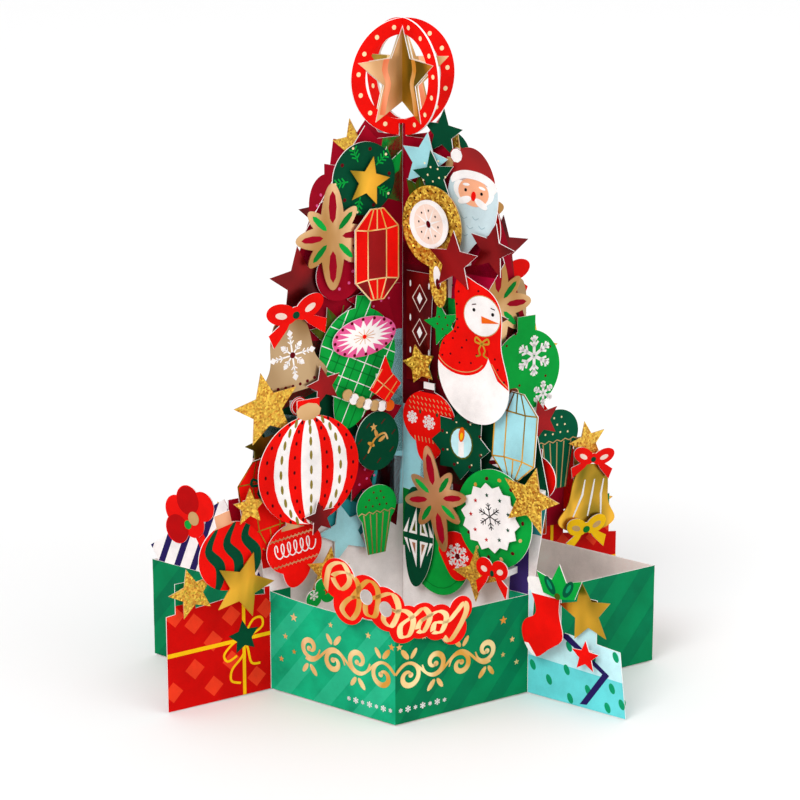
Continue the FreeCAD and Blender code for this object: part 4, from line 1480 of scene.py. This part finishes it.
SPRINKLES = (
    (-0.55, 0.42), (-0.2, 0.4), (0.15, 0.42), (0.5, 0.4), (-0.38, 0.6), (0.0, 0.62), (0.36, 0.6),
    (-0.15, 0.8), (0.2, 0.8),
)


def cupcake(board):
    """A ribbed cup with a scalloped rim and dots on its top."""
    dark = height_of(board.panel) > CONE_BREAK
    ribs, dots = ("beige", "cream") if dark else ("gold", "maroon")
    tall, wide = board.half.y, board.half.x
    rim = tall * 0.18
    for share in (-0.66, -0.33, 0.0, 0.33, 0.66):
        board.line(((share * wide, rim), (share * wide * 0.62, -tall)), 0.42, ribs, clip=True)
    scallops = [(wide * (-0.95 + 0.19 * k), rim + (0.9 if k % 2 else 0.0)) for k in range(11)]
    board.line(scallops, 0.4, ribs, 2, clip=True)
    board.dots([(x * wide, y * tall) for x, y in SPRINKLES], 0.42, dots)


print_on("green_cone", cupcake)

# %% Drops, panels, leaves and beads
def harlequin(board):
    for side in (-1, 1):
        for up, ink in ((-1, "copper"), (1, "olive")):
            outer, inner = [
                [(side * x, up * y) for x, y in corners]
                for corners in (((0.7, 1.2), (4.4, 1.2), (0.9, 11.5)), ((1.4, 2.2), (3.0, 2.2), (1.4, 6.5)))
            ]
            board.shape(outer, "white")
            board.shape(inner, ink, 2)
    for side in (-1, 1):
        board.shape(((side * 5.2, 1.2), (side * 7.0, 1.2), (side * 4.2, 7.0)), "white")
        board.shape(((side * 5.2, -1.0), (side * 6.6, -1.0), (side * 3.8, -6.4)), "white")


print_on("harlequin_drop", harlequin)


def nordic_diamonds(board):
    for y in (10.5, -2.0, -14.0):
        board.line([(0, y + 5), (3.2, y), (0, y - 5), (-3.2, y)], 0.35, "blush", closed=True)
        board.oval(0, y, 1.2, 2.2, "white", sides=4)
        for x in (-4.2, 4.2):
            board.oval(x, y + 5.0, 0.35, 1.3, "white", sides=6)


print_on("nordic_panel", nordic_diamonds)


def beige_scraps(board):
    board.field(((-9, 1.5), (-3, 3.5), (-2, 8), (-9, 8)), "beige")
    board.stripes(-14, (-4, 2), 0.5, "rose")


print_on("crimson_panels", beige_scraps)


def sprig_leaves(board):
    tall, wide = board.half.y, board.half.x
    for side, turn in ((-1, 34), (1, -30)):
        board.oval(side * wide * 0.4, -tall * 0.3, tall * 0.26, tall * 0.56, "bottle", turn=turn)
        board.oval(side * wide * 0.42, -tall * 0.26, tall * 0.1, tall * 0.3, "mint", 2, turn=turn)
    board.dot(-0.6, -tall * 0.84, 1.2, "olive", 3)


print_on("leaf_sprig", sprig_leaves)


def leaf_veins(board):
    tall = board.half.y
    for share in (-0.7, 0.0, 0.7):
        tip = (board.half.x * share, tall * (0.8 - 0.3 * abs(share)))
        board.line(((0, -tall * 0.9), tip), 0.25, "leaf_dark")


LEANING_SPRIG = near_height(132, 8)
print_on("holly_sprigs", leaf_veins, lean=lambda panel: 20.0 if LEANING_SPRIG(panel) else 0.0)
print_on("top_leaves", leaf_veins)


def beads(board):
    for index in range(7):
        share = 2 * index / 6 - 1
        ink = ("beige", "white")[index % 2] if index < 6 else "orange"
        board.dot(share * 9.5, 1.5 * (share * share - 0.5), 2.0, ink, sides=16)


print_on("bead_garlands", beads, lean=-20.0)


def ball_marks(board):
    board.flake(-3.0, -0.6, 1.9, "white", width=0.35)
    board.star(2.8, 0.2, 1.7, "red")


print_on("holly_balls", ball_marks)


def white_rim(board):
    board.line(around(20, 2.9), 0.3, "white", closed=True)


print_on("red_balls", white_rim)
print(len(printed_pieces), "printed pieces")

# %% [markdown]
# ## Floor, light and camera
# A plain white floor, a soft sun from the upper left, a weak lamp from the right and another from above
# keep the matt card flat and bright. Two dark boards beside the camera give the foil something to reflect.

# %% Stage
CARD_MIDDLE = Vector((0, 0, 0.1))


def sheet_object(name, size, place, aim, material):
    """A square board on the stage, turned to face a point."""
    mesh = bmesh.new()
    bmesh.ops.create_grid(mesh, x_segments=1, y_segments=1, size=size / 2)
    data = bpy.data.meshes.new(name)
    mesh.to_mesh(data)
    mesh.free()
    data.materials.append(material)
    piece = bpy.data.objects.new(name, data)
    piece.location = place
    piece.rotation_euler = (Vector(aim) - Vector(place)).to_track_quat("Z", "Y").to_euler()
    bpy.context.scene.collection.objects.link(piece)
    return piece


def plain(name, colour, roughness):
    material, _, shader = blank(name)
    shader.inputs["Base Color"].default_value = (*colour, 1)
    shader.inputs["Roughness"].default_value = roughness
    return material


sheet_object("floor", 6.0, (0, 0, -0.0006), (0, 0, 1), plain("floor", (0.88, 0.88, 0.88), 0.9))
BOARDS = (("dark_board_left", 0.8, (-1.2, -1.0, 0.5)), ("dark_board_front", 0.7, (0.35, -1.9, 0.1)))
dark = plain("dark board", (0.06, 0.04, 0.03), 0.5)
for name, size, place in BOARDS:
    board = sheet_object(name, size, place, CARD_MIDDLE, dark)
    board.visible_camera = False
print("The stage has a floor and", len(BOARDS), "dark boards")


def lamp(name, power, size, place):
    data = bpy.data.lights.new(name, "AREA")
    data.energy = power
    data.size = size
    light = bpy.data.objects.new(name, data)
    light.location = place
    light.rotation_euler = (CARD_MIDDLE - Vector(place)).to_track_quat("-Z", "Y").to_euler()
    bpy.context.scene.collection.objects.link(light)


lamp("fill", 5, 1.2, (1.2, -1.0, 0.7))
lamp("top", 4, 1.5, (0.1, 0.3, 1.8))
sun_data = bpy.data.lights.new("key", "SUN")
sun_data.energy = 1.3
sun_data.angle = math.radians(30)
sun = bpy.data.objects.new("key", sun_data)
sun.rotation_euler = Vector((0.55, 0.9, -0.95)).to_track_quat("-Z", "Y").to_euler()
bpy.context.scene.collection.objects.link(sun)

world = bpy.data.worlds.new("studio")
world.use_nodes = True
world.node_tree.nodes["Background"].inputs["Color"].default_value = (1, 1, 1, 1)
world.node_tree.nodes["Background"].inputs["Strength"].default_value = 0.82
scene = bpy.context.scene
scene.world = world
scene.view_settings.view_transform = "Standard"

# %% Camera
TURN = math.radians(-2.17)
RISE = math.radians(14.885)
AWAY = 1.0
PIVOT_HEIGHT = 0.110
TARGET = Vector((-0.001, 0.0, 0.099))
camera_data = bpy.data.cameras.new("camera")
camera_data.lens = 124.5
camera_data.sensor_width = 36.0
camera = bpy.data.objects.new("camera", camera_data)
level = AWAY * math.cos(RISE)
camera.location = (-level * math.sin(TURN), -level * math.cos(TURN), PIVOT_HEIGHT + AWAY * math.sin(RISE))
camera.rotation_euler = (TARGET - camera.location).to_track_quat("-Z", "Y").to_euler()
scene.collection.objects.link(camera)
scene.camera = camera
